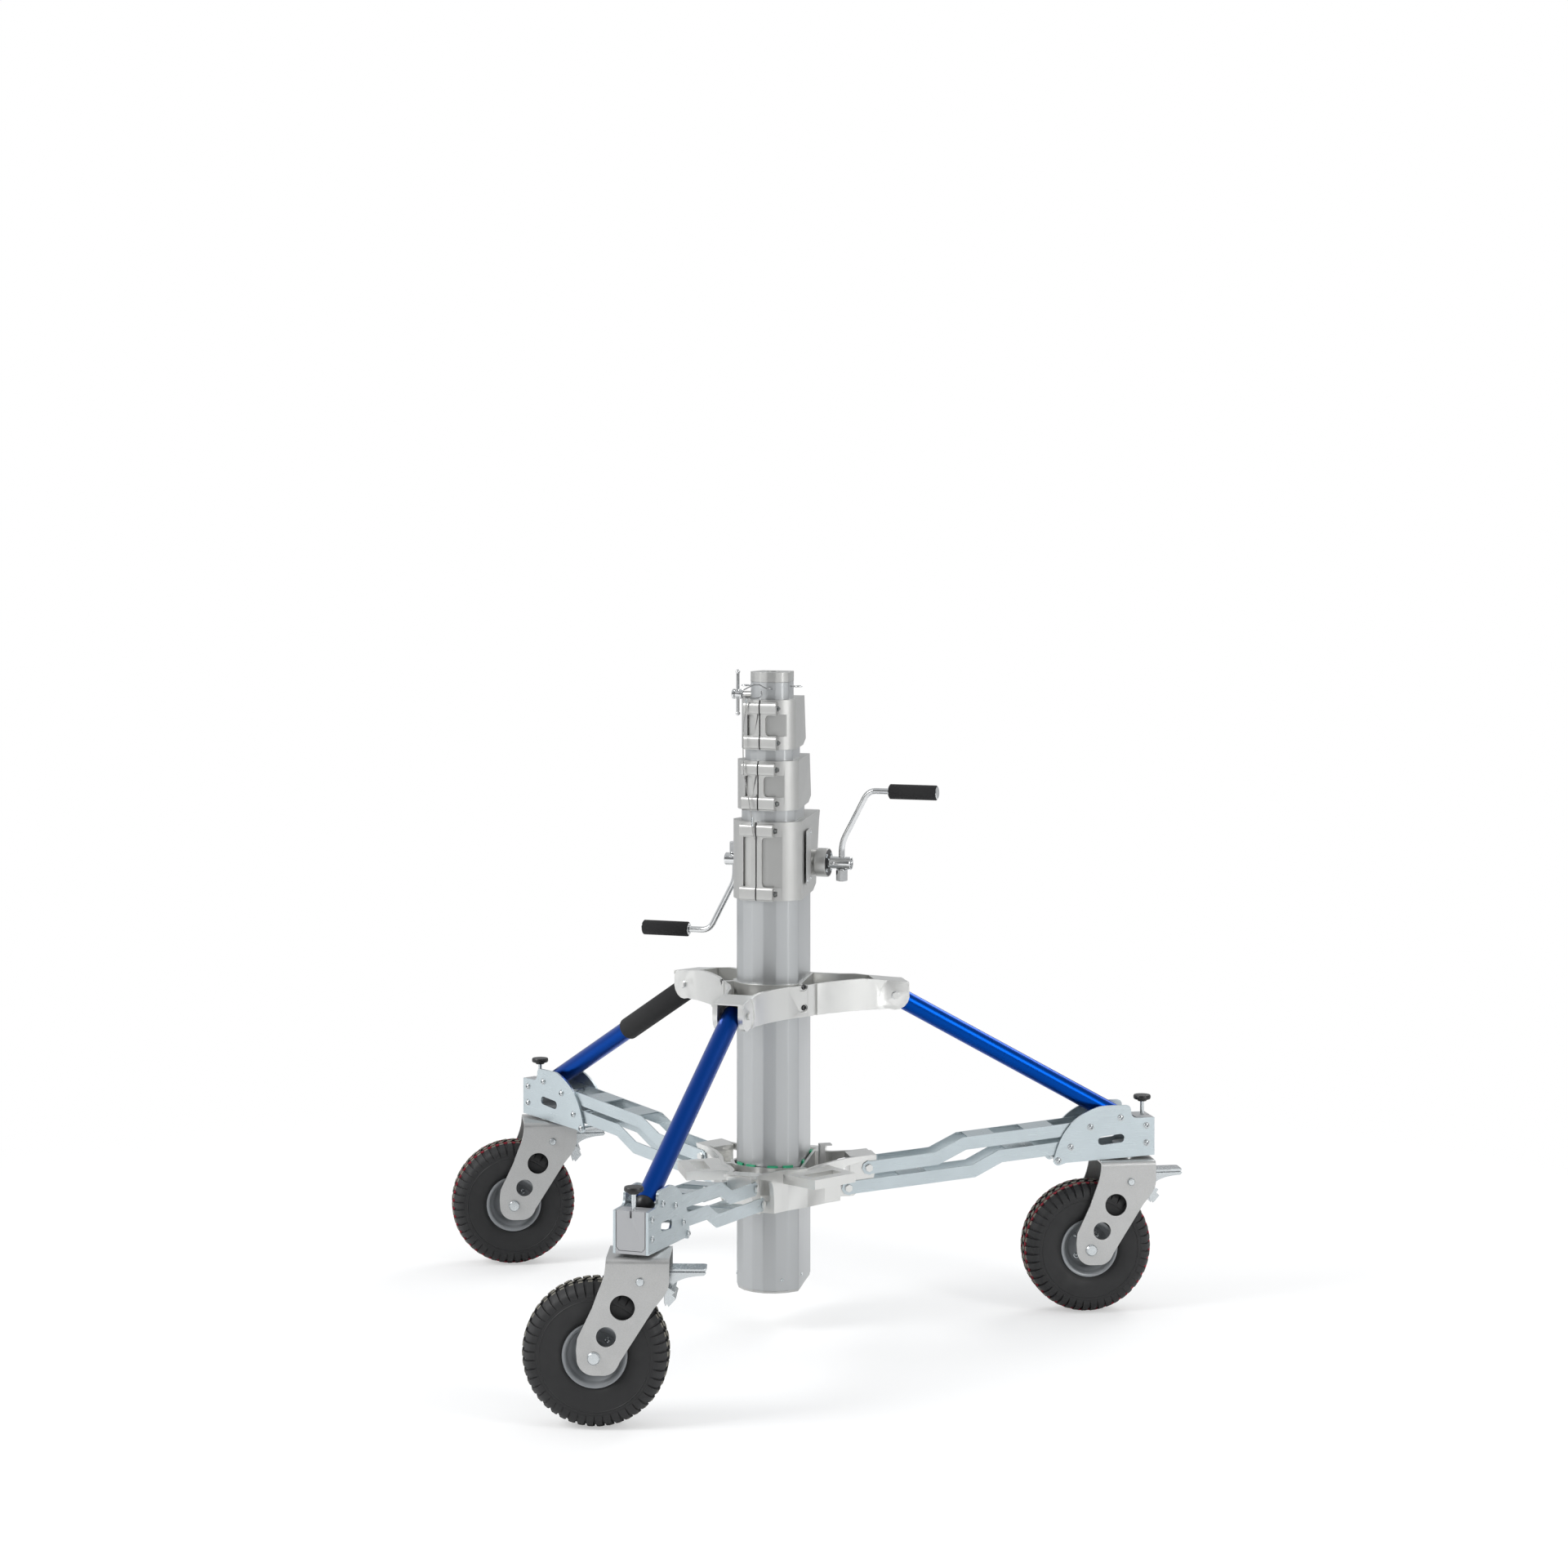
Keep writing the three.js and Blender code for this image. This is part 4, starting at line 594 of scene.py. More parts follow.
def castor_place(azimuth, trailing):
    """The frame of a castor's fork: x runs ahead of the axle, and the axle is its origin."""
    pin = AXIS + Vector((KINGPIN * cos(azimuth), KINGPIN * sin(azimuth), AXLE_HEIGHT))
    return (Matrix.Translation(pin) @ Matrix.Rotation(trailing + pi, 4, "Z")
            @ Matrix.Translation((-TRAIL, 0, 0)))


class STAND_OT_mast(bpy.types.Operator):
    """Builds the column, its foot plug and the three inner sections"""

    bl_idname = "stand.mast"
    bl_label = "Mast sections"

    def execute(self, context):
        for name, section in SECTIONS.items():
            foot, top, wall, body = section[2:]
            tube = prism(grown(name, 0), foot, top, [grown(name, -wall)])
            finish([tube], name + "_tube", body, "anodised", name, MAST, rounding=0.4, smooth=20)
        foot = prism(grown("column_outer", -1.5), 92, 96.7)
        plug = prism(grown("column_outer", -4.3), 92.2, 112)
        finish([foot, plug], "column_foot_plug", "column", "blasted", "column_foot", MAST, rounding=0.6)
        screws = []
        for facing, distance, aside in FOOT_SCREWS:
            out = Vector((cos(facing * DEG), sin(facing * DEG), 0))
            along = Vector((-out.y, out.x, 0))
            screws.append(button_screw(out * distance + along * aside + Vector((0, 0, 118)), out, 3.4))
        finish(screws, "column_foot_screws", "column", "bolt", place=MAST)
        return {"FINISHED"}


class STAND_OT_collars(bpy.types.Operator):
    """Builds the clamp collars, the winch cover and the winch bosses"""

    bl_idname = "stand.collars"
    bl_label = "Collars"

    def execute(self, context):
        for name, collar in COLLARS.items():
            self.collar(name, collar)
        finish([copy_node("winch_cover")], "winch_cover_plate", "column", "blasted", "winch_cover",
               rounding=0.8)
        self.winch_bosses()
        self.side_sheet()
        return {"FINISHED"}

    def side(self, c, behind):
        return side_at(c.front, COLLAR_SPAN * DEG, c.taper, behind)

    def collar(self, name, c):
        deepest = max(c.rear_top, c.rear_foot)
        side = self.side(c, deepest)
        plan = [*arc((0, 0), c.front, -90 - COLLAR_SPAN - MAST_TWIST, -90 + COLLAR_SPAN - MAST_TWIST, 48),
                *smooth_corners([(side, deepest), (-side, deepest), (0, 0)], 0.01, 1)[:4]]
        shell = carve(prism(plan, c.foot, c.top - CAP), [prism(plan, c.top - CAP, c.top)], "UNION")
        far = 2 * c.front
        profile = [(-far, c.foot), (c.rear_foot - CHAMFER_DEPTH, c.foot),
                   (c.rear_foot, c.foot + CHAMFER_HEIGHT), (c.rear_top, c.top), (-far, c.top)]
        shell = carve(shell, [crosswise(profile, -far, far)], "INTERSECT")
        aside = Matrix.Rotation(-MAST_TWIST * DEG, 4, "Z")
        shell = carve(shell, [turn(tool, aside) for tool in self.pockets(c)])
        shell = carve(shell, [turn(bar, aside) for bar in self.clamp(c)], "UNION")
        slot = block((-CLAMP_SLOT / 2, -far, c.foot - 1), (CLAMP_SLOT / 2, -c.front / 2, c.top + 1))
        holes, screws = self.clamp_screws(c)
        cutters = [prism(grown(c.carrier, 0.3), c.foot - 1, c.top - CAP),
                   prism(grown(c.inner, 0.6), c.foot, c.top + 1),
                   *(turn(tool, aside) for tool in (slot, *holes))]
        if name == "collar_1":
            cutters.append(block((CAP - side, 80, c.foot + CAP), (side - CAP, deepest + CAP, c.top - CAP)))
        finish([carve(shell, cutters)], name + "_body", c.body, "blasted", name, MAST, rounding=1.2,
               smooth=32)
        screws = [*(turn(screw, aside) for screw in screws), *self.rear_screws(name, c)]
        finish(screws, name + "_screws", c.body, "bolt", place=MAST)
        self.side_plate(name, c)

    def pockets(self, c):
        """Hollows beside the seam: the left one has an end wall, the right one runs out on the round."""
        tools = []
        for side, near, far, run in ((-1, 10, 31, 0), (1, 11, 48, 20)):
            floor = []
            for i in range(13):
                across = near + (far - near) * i / 12
                rise = max(0.0, 1 - (far - across) / run) if run else 0.0
                radius = c.front - 3.6 * (1 - rise * rise)
                floor.append((side * across, -sqrt(radius ** 2 - across ** 2)))
            ahead = -c.front - 9
            tools.append(prism([*floor, (side * far, ahead), (side * near, ahead)], c.foot + 26, c.top - 28))
        return tools

    def clamp(self, c):
        """Two bars across the seam, and a rib on each side of it that joins them."""
        face = -(c.front + 2.6)
        back = -sqrt(c.front ** 2 - 35 ** 2) + 3
        low, high = c.foot + 27, c.top - 29
        shapes = []
        for side, rib in ((-1, 10.7), (1, 12.0)):
            outline = [(1.5, c.foot), (35, c.foot), (35, low),
                       *curve_points((rib + 9, low), (rib, low), (rib, low + 9), 6),
                       *curve_points((rib, high - 9), (rib, high), (rib + 9, high), 6),
                       (35, high), (35, c.top - 4), (1.5, c.top - 4)]
            shapes.append(slab([(side * across, up) for across, up in outline], face + 2.2, back))
            for start, end in ((c.foot + 0.2, low), (high, c.top - 4.2)):
                bar = smooth_corners([(back, start), (face, start), (face, end), (back, end)], 9, 6)
                shapes.append(crosswise(bar, *sorted((side * 1.5, side * 35.2))))
        return shapes

    def clamp_screws(self, c):
        ahead = -(c.front + 2.6) + 10.5
        heights = (c.foot + 13.5, c.top - 16.5)
        return ([rod(5.4, (29, ahead, height), (40, ahead, height)) for height in heights],
                [button_screw((29.6, ahead, height), ALONG_X, 4.9, 4.4) for height in heights])

    def rear_screws(self, name, c):
        half = self.side(c, max(c.rear_top, c.rear_foot)) - 5
        start = c.foot + CHAMFER_HEIGHT
        lean = atan2(c.rear_top - c.rear_foot, c.top - start)
        cover = 4.3 / cos(lean) if name == "collar_1" else 0
        screws = []
        for height in (start + 8, c.top - 9):
            behind = c.rear_foot + (c.rear_top - c.rear_foot) * (height - start) / (c.top - start) + cover
            for across in (-half, half):
                screws.append(button_screw((across, behind - 0.3, height), (0, 1, -tan(lean)), 3.2, 2.4))
        return screws

    def side_plate(self, name, c):
        """The small dark plate on the left side of each collar."""
        plate = prism(rounded_box(-13, -16, 13, 16, 3), 0, 2.6)
        start = Vector((-self.side(c, 22), 22, (c.foot + c.top) / 2))
        place = (Matrix.Translation(AXIS + start) @ Matrix.Rotation(c.taper - pi / 2, 4, "Z")
                 @ Matrix.Rotation(pi / 2, 4, "X"))
        finish([plate], name + "_side_plate", c.body, "black_plastic", place=place, rounding=0.5)

    def winch_bosses(self):
        bosses, seals, screws = [], [], []
        centre = (0, SHAFT_BEHIND, SHAFT_HEIGHT)
        boss = [(9, 30), (25, 30), (25, 60), (25.6, 61.6), (27.4, 62), (28.5, 63), (28.5, 83.4),
                (27.7, 84.8), (26.4, 84.8), (26.2, 83.6), (9, 83.6)]
        seal = [(9, 83.8), (25.8, 83.8), (25.8, 84.5), (9, 84.5)]
        for side in SIDES:
            bosses.append(lathe(flipped(boss, side), 64, centre, ALONG_X))
            seals.append(lathe(flipped(seal, side), 48, centre, ALONG_X))
            for behind, height in circle(centre[1:], 20, 8)[1::2]:
                screws.append(button_screw((side * 84.4, behind, height), (side, 0, 0), 4.2, 2.6))
        finish(bosses, "winch_bosses", "column", "blasted", place=MAST, smooth=30)
        finish(seals, "winch_boss_seals", "column", "black_plastic", place=MAST, smooth=30)
        finish(screws, "winch_boss_screws", "column", "bolt", place=MAST)

    def side_sheet(self):
        """The bare sheet screwed to the right side of the winch room, in front of the boss."""
        c = COLLARS["collar_1"]
        low, high, near, far = c.top - 128, c.top - 22, -4, 64
        sheet = prism(rounded_box(near, low, far, high, 3), 0, 1.2)
        screws = [button_screw((across, up, 1.1), (0, 0, 1), 2.6, 1.6)
                  for across in (near + 8, far - 8) for up in (low + 8, high - 8)]
        place = (Matrix.Translation(AXIS + Vector((self.side(c, 0), 0, 0)))
                 @ Matrix.Rotation(c.taper + pi / 2, 4, "Z") @ Matrix.Rotation(pi / 2, 4, "X"))
        finish([sheet], "winch_side_sheet", "column", "galvanised", place=place)
        finish(screws, "winch_side_sheet_screws", "column", "bolt", place=place)


class STAND_OT_brackets(bpy.types.Operator):
    """Builds the upper bracket, the sliding lower bracket, its glides and its latch"""

    bl_idname = "stand.brackets"
    bl_label = "Brackets"

    def execute(self, context):
        for name, azimuth in LEGS.items():
            self.upper_bracket(name, azimuth)
            place = leg_place(azimuth)
            reach, height = UPPER_PIVOT
            heads = [bolt_head((reach, side * 30.5, height), (0, side, 0), 6.2, 4) for side in SIDES]
            finish(heads, f"upper_pivot_bolts_{name}", "column", "bolt", place=place)
            heads = [bolt_head((reach, side * 28.3, height), (0, side, 0), 6.2, 4)
                     for side in SIDES for reach, height in (UPPER_LINK_ROOT, LOWER_LINK_ROOT)]
            finish(heads, f"link_root_bolts_{name}", "base_slider", "bolt", place=place)
        dress("lower_bracket", "base_slider", "ground", 1.4)
        dress("glide_pads", "base_slider", "green_plastic", 0.4)
        dress("release_latch", "latch", "galvanised", 0.4)
        return {"FINISHED"}

    def upper_bracket(self, name, azimuth):
        """One arm of the bracket, with a groove at one seam and two bolts in long recesses at the other."""
        node = f"upper_bracket_{name}"
        groove = block((SEAM_FACE - 4, 15, 560), (SEAM_FACE + 8, 25, 760))
        groove = turn(groove, leg_place(azimuth - 60 * DEG))
        seam = leg_place(azimuth + 60 * DEG)
        recesses, bolts = [], []
        for height in (650.4, 690.9):
            recess = crosswise(oval(-16, -8, height, 7.4), SEAM_FACE - 3, SEAM_FACE + 8)
            recesses.append(turn(recess, seam))
            bolts.append(button_screw((SEAM_FACE - 3.2, -8, height), ALONG_X, 5.6, 3.6))
        arm = carve(copy_node(node), [groove, *recesses])
        finish([arm], node + "_skin", "column", "ground", node, rounding=1.2)
        finish(bolts, f"upper_seam_bolts_{name}", "column", "black_steel", place=seam)


class STAND_OT_links(bpy.types.Operator):
    """Builds the stepped upper and lower links of each leg"""

    bl_idname = "stand.links"
    bl_label = "Links"

    def execute(self, context):
        for name in LEGS:
            for level in ("upper", "lower"):
                node = f"{level}_link_{name}"
                dress(node, node, "zinc", 0.6)
        return {"FINISHED"}


class STAND_OT_end_boxes(bpy.types.Operator):
    """Builds the plates, blocks, bolts and lock knobs at the ends of the legs"""

    bl_idname = "stand.end_boxes"
    bl_label = "End boxes"

    def execute(self, context):
        pivots = [*((root[0] + LINK_SPAN[0], root[1] + LINK_SPAN[1])
                    for root in (UPPER_LINK_ROOT, LOWER_LINK_ROOT)), NOSE, STRUT_FOOT, *BLOCK_BOLTS]
        for name, azimuth in LEGS.items():
            place = leg_place(azimuth)
            body = f"end_box_{name}"
            for mark, start, end in (("a", -33, -28.5), ("b", 28.5, 33)):
                node = f"end_plate_{mark}_{name}"
                finish([self.plate(start, end)], node + "_sheet", body, "zinc", node, place, rounding=0.6)
            self.front_block(name, body, place)
            heads = [bolt_head((reach, side * 33, height), (0, side, 0), 5.6, 4.2)
                     for reach, height in pivots for side in SIDES]
            heads += [rod(4, (reach, -34, height), (reach, 34, height), 16) for reach, height in pivots[:4]]
            finish(heads, f"end_box_bolts_{name}", body, "bolt", place=place)
            self.knob(name, f"swivel_lock_{name}", place)
        return {"FINISHED"}

    def plate(self, start, end):
        """A side plate with its leaning slot."""
        top = 425.6
        shoulder = BOX_FOOT + 0.74 * (top - BOX_FOOT)
        outline = [
            (BOX_END, BOX_FOOT), (BOX_END, shoulder), (BOX_END - 33, shoulder),
            *curve_points((737, shoulder), (724, shoulder), (724, top - 10), 8),
            *curve_points((724, top - 8), (722, top), (714, top), 4),
            (673, top), *curve_points((660, top - 0.5), (580, 405), (563.6, 318), 20),
            *arc((573, 320), 9.6, 190, 282, 8), (589, 315), (646, 318), (772, 324),
        ]
        lean = 6 * DEG
        slot = [(683 + x * cos(lean) - y * sin(lean), 358 + x * sin(lean) + y * cos(lean))
                for x, y in oval(-19, 19, 0, 8.5)]
        return slab(outline, start, end, [slot])

    def front_block(self, name, body, place):
        """The folded block: a gap runs round its outer face, whose lower corners are cut off."""
        node = f"end_block_{name}"
        top = 399.0

        def bracket(half, low, cut, high):
            return [(-half, high), (-half, low + cut), (cut - half, low), (half - cut, low),
                    (half, low + cut), (half, high)]

        edge = bracket(27.4, BOX_FOOT + 5, 6, top + 2)
        inside = bracket(26.4, BOX_FOOT + 6, 5.4, top + 1)
        gap = crosswise(edge, BOX_END - 3, BOX_END + 2, [inside])
        notch = block((BOX_END - 8, -2, top - 12), (BOX_END + 2, 2, top + 2))
        solid = turn(copy_node(node), place.inverted())
        finish([carve(solid, [gap, notch])], node + "_skin", body, "block_paint", node, place, rounding=0.8)

    def knob(self, name, body, place):
        cap = [(0, 427), (9, 427), (9.5, 429), (16.2, 431), (17.4, 433), (17.4, 437.2), (16.4, 439.2),
               (10, 440), (0, 440)]
        finish([lathe(cap, 48, (KNOB, 0, 0))], f"lock_knob_{name}_cap", body, "black_plastic",
               f"lock_knob_{name}", place, smooth=30)
        finish([rod(4, (KNOB, 0, 328), (KNOB, 0, 428), 24)], f"lock_spindle_{name}", body, "bolt",
               place=place)


class STAND_OT_struts(bpy.types.Operator):
    """Builds the three struts and the foam grip of the left one"""

    bl_idname = "stand.struts"
    bl_label = "Struts"

    def execute(self, context):
        foot, top = Vector((STRUT_FOOT[0], 0, STRUT_FOOT[1])), Vector((UPPER_PIVOT[0], 0, UPPER_PIVOT[1]))
        along = (top - foot).normalized()
        length = (top - foot).length
        plug = 18.6
        for name, azimuth in LEGS.items():
            place = leg_place(azimuth)
            body = f"strut_{name}"
            tube = [(0, -2), (19, -2), (19, length + 2), (0, length + 2)]
            lower = [(0, -19), *arc((0, -1), plug, -80, 0, 8), (plug, 2), (0, 2)]
            upper = [(0, length + 19), *arc((0, length + 1), plug, 80, 0, 8), (plug, length - 2),
                     (0, length - 2)]
            finish([lathe(tube, 64, foot, along)], body + "_tube", body, "blue_tube", body, place, smooth=30)
            finish([lathe(end, 48, foot, along) for end in (lower, upper)], body + "_plugs", body,
                   "black_plastic", place=place, smooth=30)
        grip = [(19.4, length - 246), (21.5, length - 246), (23, length - 244), (23, length - 34),
                (21.5, length - 32), (19.4, length - 32)]
        finish([lathe(grip, 64, foot, along)], "strut_foam_sleeve", "strut_left", "foam", "strut_foam_grip",
               leg_place(LEGS["left"]), smooth=50)
        return {"FINISHED"}


class STAND_OT_castors(bpy.types.Operator):
    """Builds the forks, brakes, rims and tyres"""

    bl_idname = "stand.castors"
    bl_label = "Castors"

    def execute(self, context):
        for name, azimuth in LEGS.items():
            place = castor_place(azimuth, TRAILING[name])
            self.fork(name, f"fork_{name}", place)
            self.rim(name, f"wheel_{name}", place)
            self.tyre(name, f"wheel_{name}", place)
            self.brake(f"brake_{name}", place)
        return {"FINISHED"}

    def fork(self, name, body, place):
        outline = [
            *arc((0, 0), 30, 188, 262, 10), (0, -30), *curve_points((20, -30), (38, -27), (45, -7), 8),
            (105, 87), *curve_points((117, 102), (131, 118), (132, 135), 6), (132, 174.5), (21, 174.5),
            *curve_points((20, 160), (18.5, 141), (8, 118), 6), (-3.5, 87), (-29, 34), (-31, 14),
        ]
        plates = slab(outline, -54, 54, [circle((50, 88.5), 22, 48), circle((21.5, 37.5), 17.5, 48)])
        bent = [(-54, -40), *arc((-44, 164.5), 10, 180, 90, 8), *arc((44, 164.5), 10, 90, 0, 8), (54, -40),
                (50, -40), *arc((44, 164.5), 6, 0, 90, 6), *arc((-44, 164.5), 6, 90, 180, 6), (-50, -40)]
        shell = carve(plates, [crosswise(bent, -60, 160)], "INTERSECT")
        finish([shell], body + "_sheet", body, "galvanised", body, place, rounding=0.5)
        bearing = lathe([(0, 173), (24.4, 173), (25.4, 174), (25.4, 176.4), (24, 177), (24, 178.6),
                         (25.4, 179.2), (25.4, 180.6), (24.8, 181.2), (0, 181.2)], 64, (TRAIL, 0, 0))
        pin = rod(10, (TRAIL, 0, 180), (TRAIL, 0, 197.5))
        finish([bearing, pin], f"swivel_bearing_{name}", body, "chromed", place=place, smooth=30)
        ahead, up = BRAKE_PIVOT
        bolts = [rod(8, (0, -54, 0), (0, 54, 0), 24), rod(6, (ahead, -54, up), (ahead, 54, up), 24)]
        for side in SIDES:
            out = (0, side, 0)
            bolts.append(lathe([(0, 0), (11.5, 0), (11.5, 2), (9.4, 4.6), (0, 5)], 32,
                               (0, side * 54, 0), out))
            bolts.append(lathe([(0, 0), (7.5, 0), (7.5, 2), (6, 4.2), (0, 4.6)], 24,
                               (ahead, side * 54, up), out))
        finish(bolts, f"fork_bolts_{name}", body, "bolt", place=place)

    def rim(self, name, body, place):
        half = [(8.6, 49.4), (16, 49.4), (17, 48.6), (17, 9), (19, 6.4), (22, 5.6), (34, 5.6), (38, 7.5),
                (41, 14), (43.5, 20), (47, 22.5), (49, 25), (49.6, 31), (51.5, 34), (54.5, 35.6), (57, 35.6),
                (58, 34.4), (58, 32.8), (54, 32), (51, 30)]
        finish([lathe([*half, *flipped(reversed(half))], 72, axis=ALONG_Y)], f"rim_{name}_pressing", body,
               "rim_paint", f"rim_{name}", place, smooth=40)
        heads = [bolt_head((ahead, side * 5.4, up), (0, side, 0), 4.6, 3.6)
                 for side in SIDES for ahead, up in circle((0, 0), 28, 8)[1::2]]
        finish(heads, f"rim_bolts_{name}", body, "bolt", place=place)
        valve = lathe([(0, 0), (3.4, 0), (3.4, 3), (2.6, 6), (2.6, 16), (3.1, 16.4), (3.1, 20), (0, 20)], 20,
                      (36, 12, 21), (-0.35, 0.9, -0.25))
        finish([valve], f"valve_{name}", body, "black_plastic", place=place)

    def tyre(self, name, body, place):
        depth = settings().tread_depth
        tread = [(130, 0), (129.6, 10), (128, 20), (123.6, 30), (118, 38), (112, 41.4)]
        wall = [(101, 42.5), (98.6, 42.2), (97.6, 43), (96.6, 42.2), (90, 42), (78, 41.4), (70, 39.6),
                (66, 38.4), (62, 36.4), (59.5, 33.4), (54, 32), (51.3, 30), (51.3, 0)]
        sunk = [(radius - depth, across * (1 - 0.03 * (across > 1))) for radius, across in tread]
        half = [*sunk, (104, 42.3), *wall]
        carcass = lathe([*half, *flipped(reversed(half[1:-1]))], 128, axis=ALONG_Y)
        blocks, caps = self.tread_blocks(depth)
        finish([carcass, *blocks], f"tyre_{name}_rubber", body, "tyre", f"tyre_{name}", place, smooth=36)
        finish(caps, f"tyre_{name}_tread", body, "worn_tyre", place=place, smooth=30)
        if name != "front":
            finish([self.red_line()], f"tyre_{name}_line", body, "red_line", place=place, smooth=30)

    def tread_blocks(self, depth):
        """Blocks on the shoulders and on the middle, and the dusty faces on which they roll."""
        shoulder = [(128.2, 18.5), (126.6, 24), (123.8, 30), (118.6, 38), (113, 41.8), (106.5, 42.9),
                    (103.4, 42.6), (103.4, 40), (112, 37), (118, 32), (122, 24), (128.2 - depth - 1, 18.5)]
        worn = [(128.5, 18.9), (127.1, 23.6), (126.4, 23.6), (127.8, 18.9)]
        blocks, caps = [], []
        count = settings().lugs
        for side in SIDES:
            stand = Matrix(((1, 0, 0, 0), (0, 0, side, 0), (0, 1, 0, 0), (0, 0, 0, 1)))
            for i in range(count):
                step = Matrix.Rotation((i + (0.5 if side > 0 else 0)) * WHOLE_TURN / count, 4, "Y")
                bar = slab(shoulder, -5, 5)
                for corner in bar.verts:
                    corner.co.y *= 1.34 - 0.34 * (corner.co.x - 103.4) / 25
                blocks.append(turn(bar, step @ stand))
                caps.append(turn(slab(worn, -4, 4), step @ stand))
                twist = (step @ Matrix.Translation((0, side * 8.6, 0))
                         @ Matrix.Rotation(side * 24 * DEG, 4, "X"))
                blocks.append(turn(block((128 - depth, -6.4, -5.4), (129, 6.4, 5.4)), twist))
                caps.append(turn(block((128.8, -5.8, -4.8), (129.7, 5.8, 4.8)), twist))
        return blocks, caps

    def red_line(self):
        """A thin raised line that zigzags round each side of the tread."""
        bm = bmesh.new()
        wave = (1, 1, 1, 1, 0, -1, -1, 0)
        count = settings().lugs * len(wave) // 2
        for side in SIDES:
            rings = []
            for i in range(count):
                angle = i * WHOLE_TURN / count
                across = side * (16.4 - 1.5 * wave[i % len(wave)])
                rings.append([bm.verts.new((radius * cos(angle), across + shift, radius * sin(angle)))
                              for radius, shift in ((125, -0.8), (128.6, -0.8), (128.6, 0.8), (125, 0.8))])
            for before, after in zip(rings, rings[1:] + rings[:1]):
                for j in range(4):
                    bm.faces.new((before[j - 1], before[j], after[j], after[j - 1]))
        return tidy(bm)

    def brake(self, body, place):
        """Two cheeks under a pedal with a rounded end, and the folded, toothed shoe between them."""
        cheek = [(70, 139.5), (70, 128.5), (81, 123), (124, 107.5), (124, 90), (134, 90), (136, 112),
                 *curve_points((137, 122), (152, 136), (191, 137.4), 8), (194.5, 141), (194.5, 143.4),
                 (81, 143.4)]
        shoe = [(122, 119), (128, 121.5), (141, 113), (136.5, 107.5), (143, 101), (134, 91), (129.8, 87),
                (127.5, 92), (124.6, 88), (122, 94)]
        ahead, up = BRAKE_PIVOT
        shapes = [
            *(slab(cheek, side * 18.5 - 1.5, side * 18.5 + 1.5) for side in SIDES),
            prism(rounded_box(120, -21, 195, 21, 7, 5), 145.4, 149.5),
            block((120, -16.5, 139), (193, 16.5, 145.8)),
            slab(shoe, -38, 38),
            rod(10, (ahead, -20, up), (ahead, 20, up), 24),
        ]
        finish(shapes, body + "_lever", body, "bolt", body, place, rounding=0.6)


class STAND_OT_cranks(bpy.types.Operator):
    """Builds the winch shaft, the two crank arms and their grips"""

    bl_idname = "stand.cranks"
    bl_label = "Cranks"

    def arm(self):
        """The bent rod of the right crank, from its socket to the grip: its two inner corners are bends."""
        corners = [(112, -20), (112, 40), (167, 145), (306, 145)]
        bends = smooth_corners(corners, 17, 10)[11:33]
        path = [(across, 0, up) for across, up in (corners[0], *bends, corners[-1])]
        holder = wire("rod", path, 6, 6)
        line = holder.data
        bm = from_mesh(bpy.data.meshes.new_from_object(holder))
        bpy.data.objects.remove(holder)
        bpy.data.curves.remove(line)
        return tidy(bm)

    def execute(self, context):
        centre = MAST @ Matrix.Translation((0, SHAFT_BEHIND, SHAFT_HEIGHT))
        shapes = [rod(8.5, (-91, 0, 0), (91, 0, 0))]
        socket = [(8.5, 85.4), (12, 85.4), (12.75, 86.2), (12.75, 131.2), (12, 132), (9.6, 132), (9.2, 131),
                  (9.2, 120), (0, 120)]
        for side in SIDES:
            shapes.append(lathe(flipped(socket, side), 48, axis=ALONG_X))
            shapes.append(button_screw((side * 97, -12.4, 0), (0, -1, 0), 3.4, 1.6))
        finish(shapes, "crank_shaft_bar", "crank", "chromed", "crank_shaft", centre, smooth=30)
        nut = [(0, -13.2), (10.6, -13.2), (11.5, -14.2), (11.5, -34.2), (10.6, -35.2), (0, -35.2)]
        foam = [(6.7, 212), (13.4, 212), (14.8, 213.4), (14.8, 306.6), (13.6, 308), (6.7, 308)]
        caps = ([(6.7, 209.8), (10.5, 209.8), (11.5, 210.6), (11.5, 212.2), (6.7, 212.2)],
                [(0, 307.6), (12.2, 307.6), (12.2, 309.2), (11, 309.9), (0, 309.9)])
        grip_start = (0, 0, 145)
        for name, turned in (("right", 0), ("left", pi)):
            place = centre @ Matrix.Rotation(turned, 4, "Y")
            arm, grip, body = f"crank_arm_{name}", f"crank_grip_{name}", f"grip_{name}"
            finish([self.arm(), lathe(nut, 40, (112, 0, 0))], arm + "_rod", "crank", "chromed", arm, place,
                   smooth=30)
            finish([lathe(foam, 48, grip_start, ALONG_X)], grip + "_foam", body, "foam", grip, place,
                   smooth=50)
            finish([lathe(cap, 40, grip_start, ALONG_X) for cap in caps], grip + "_caps", body, "chromed",
                   place=place, smooth=30)
        return {"FINISHED"}


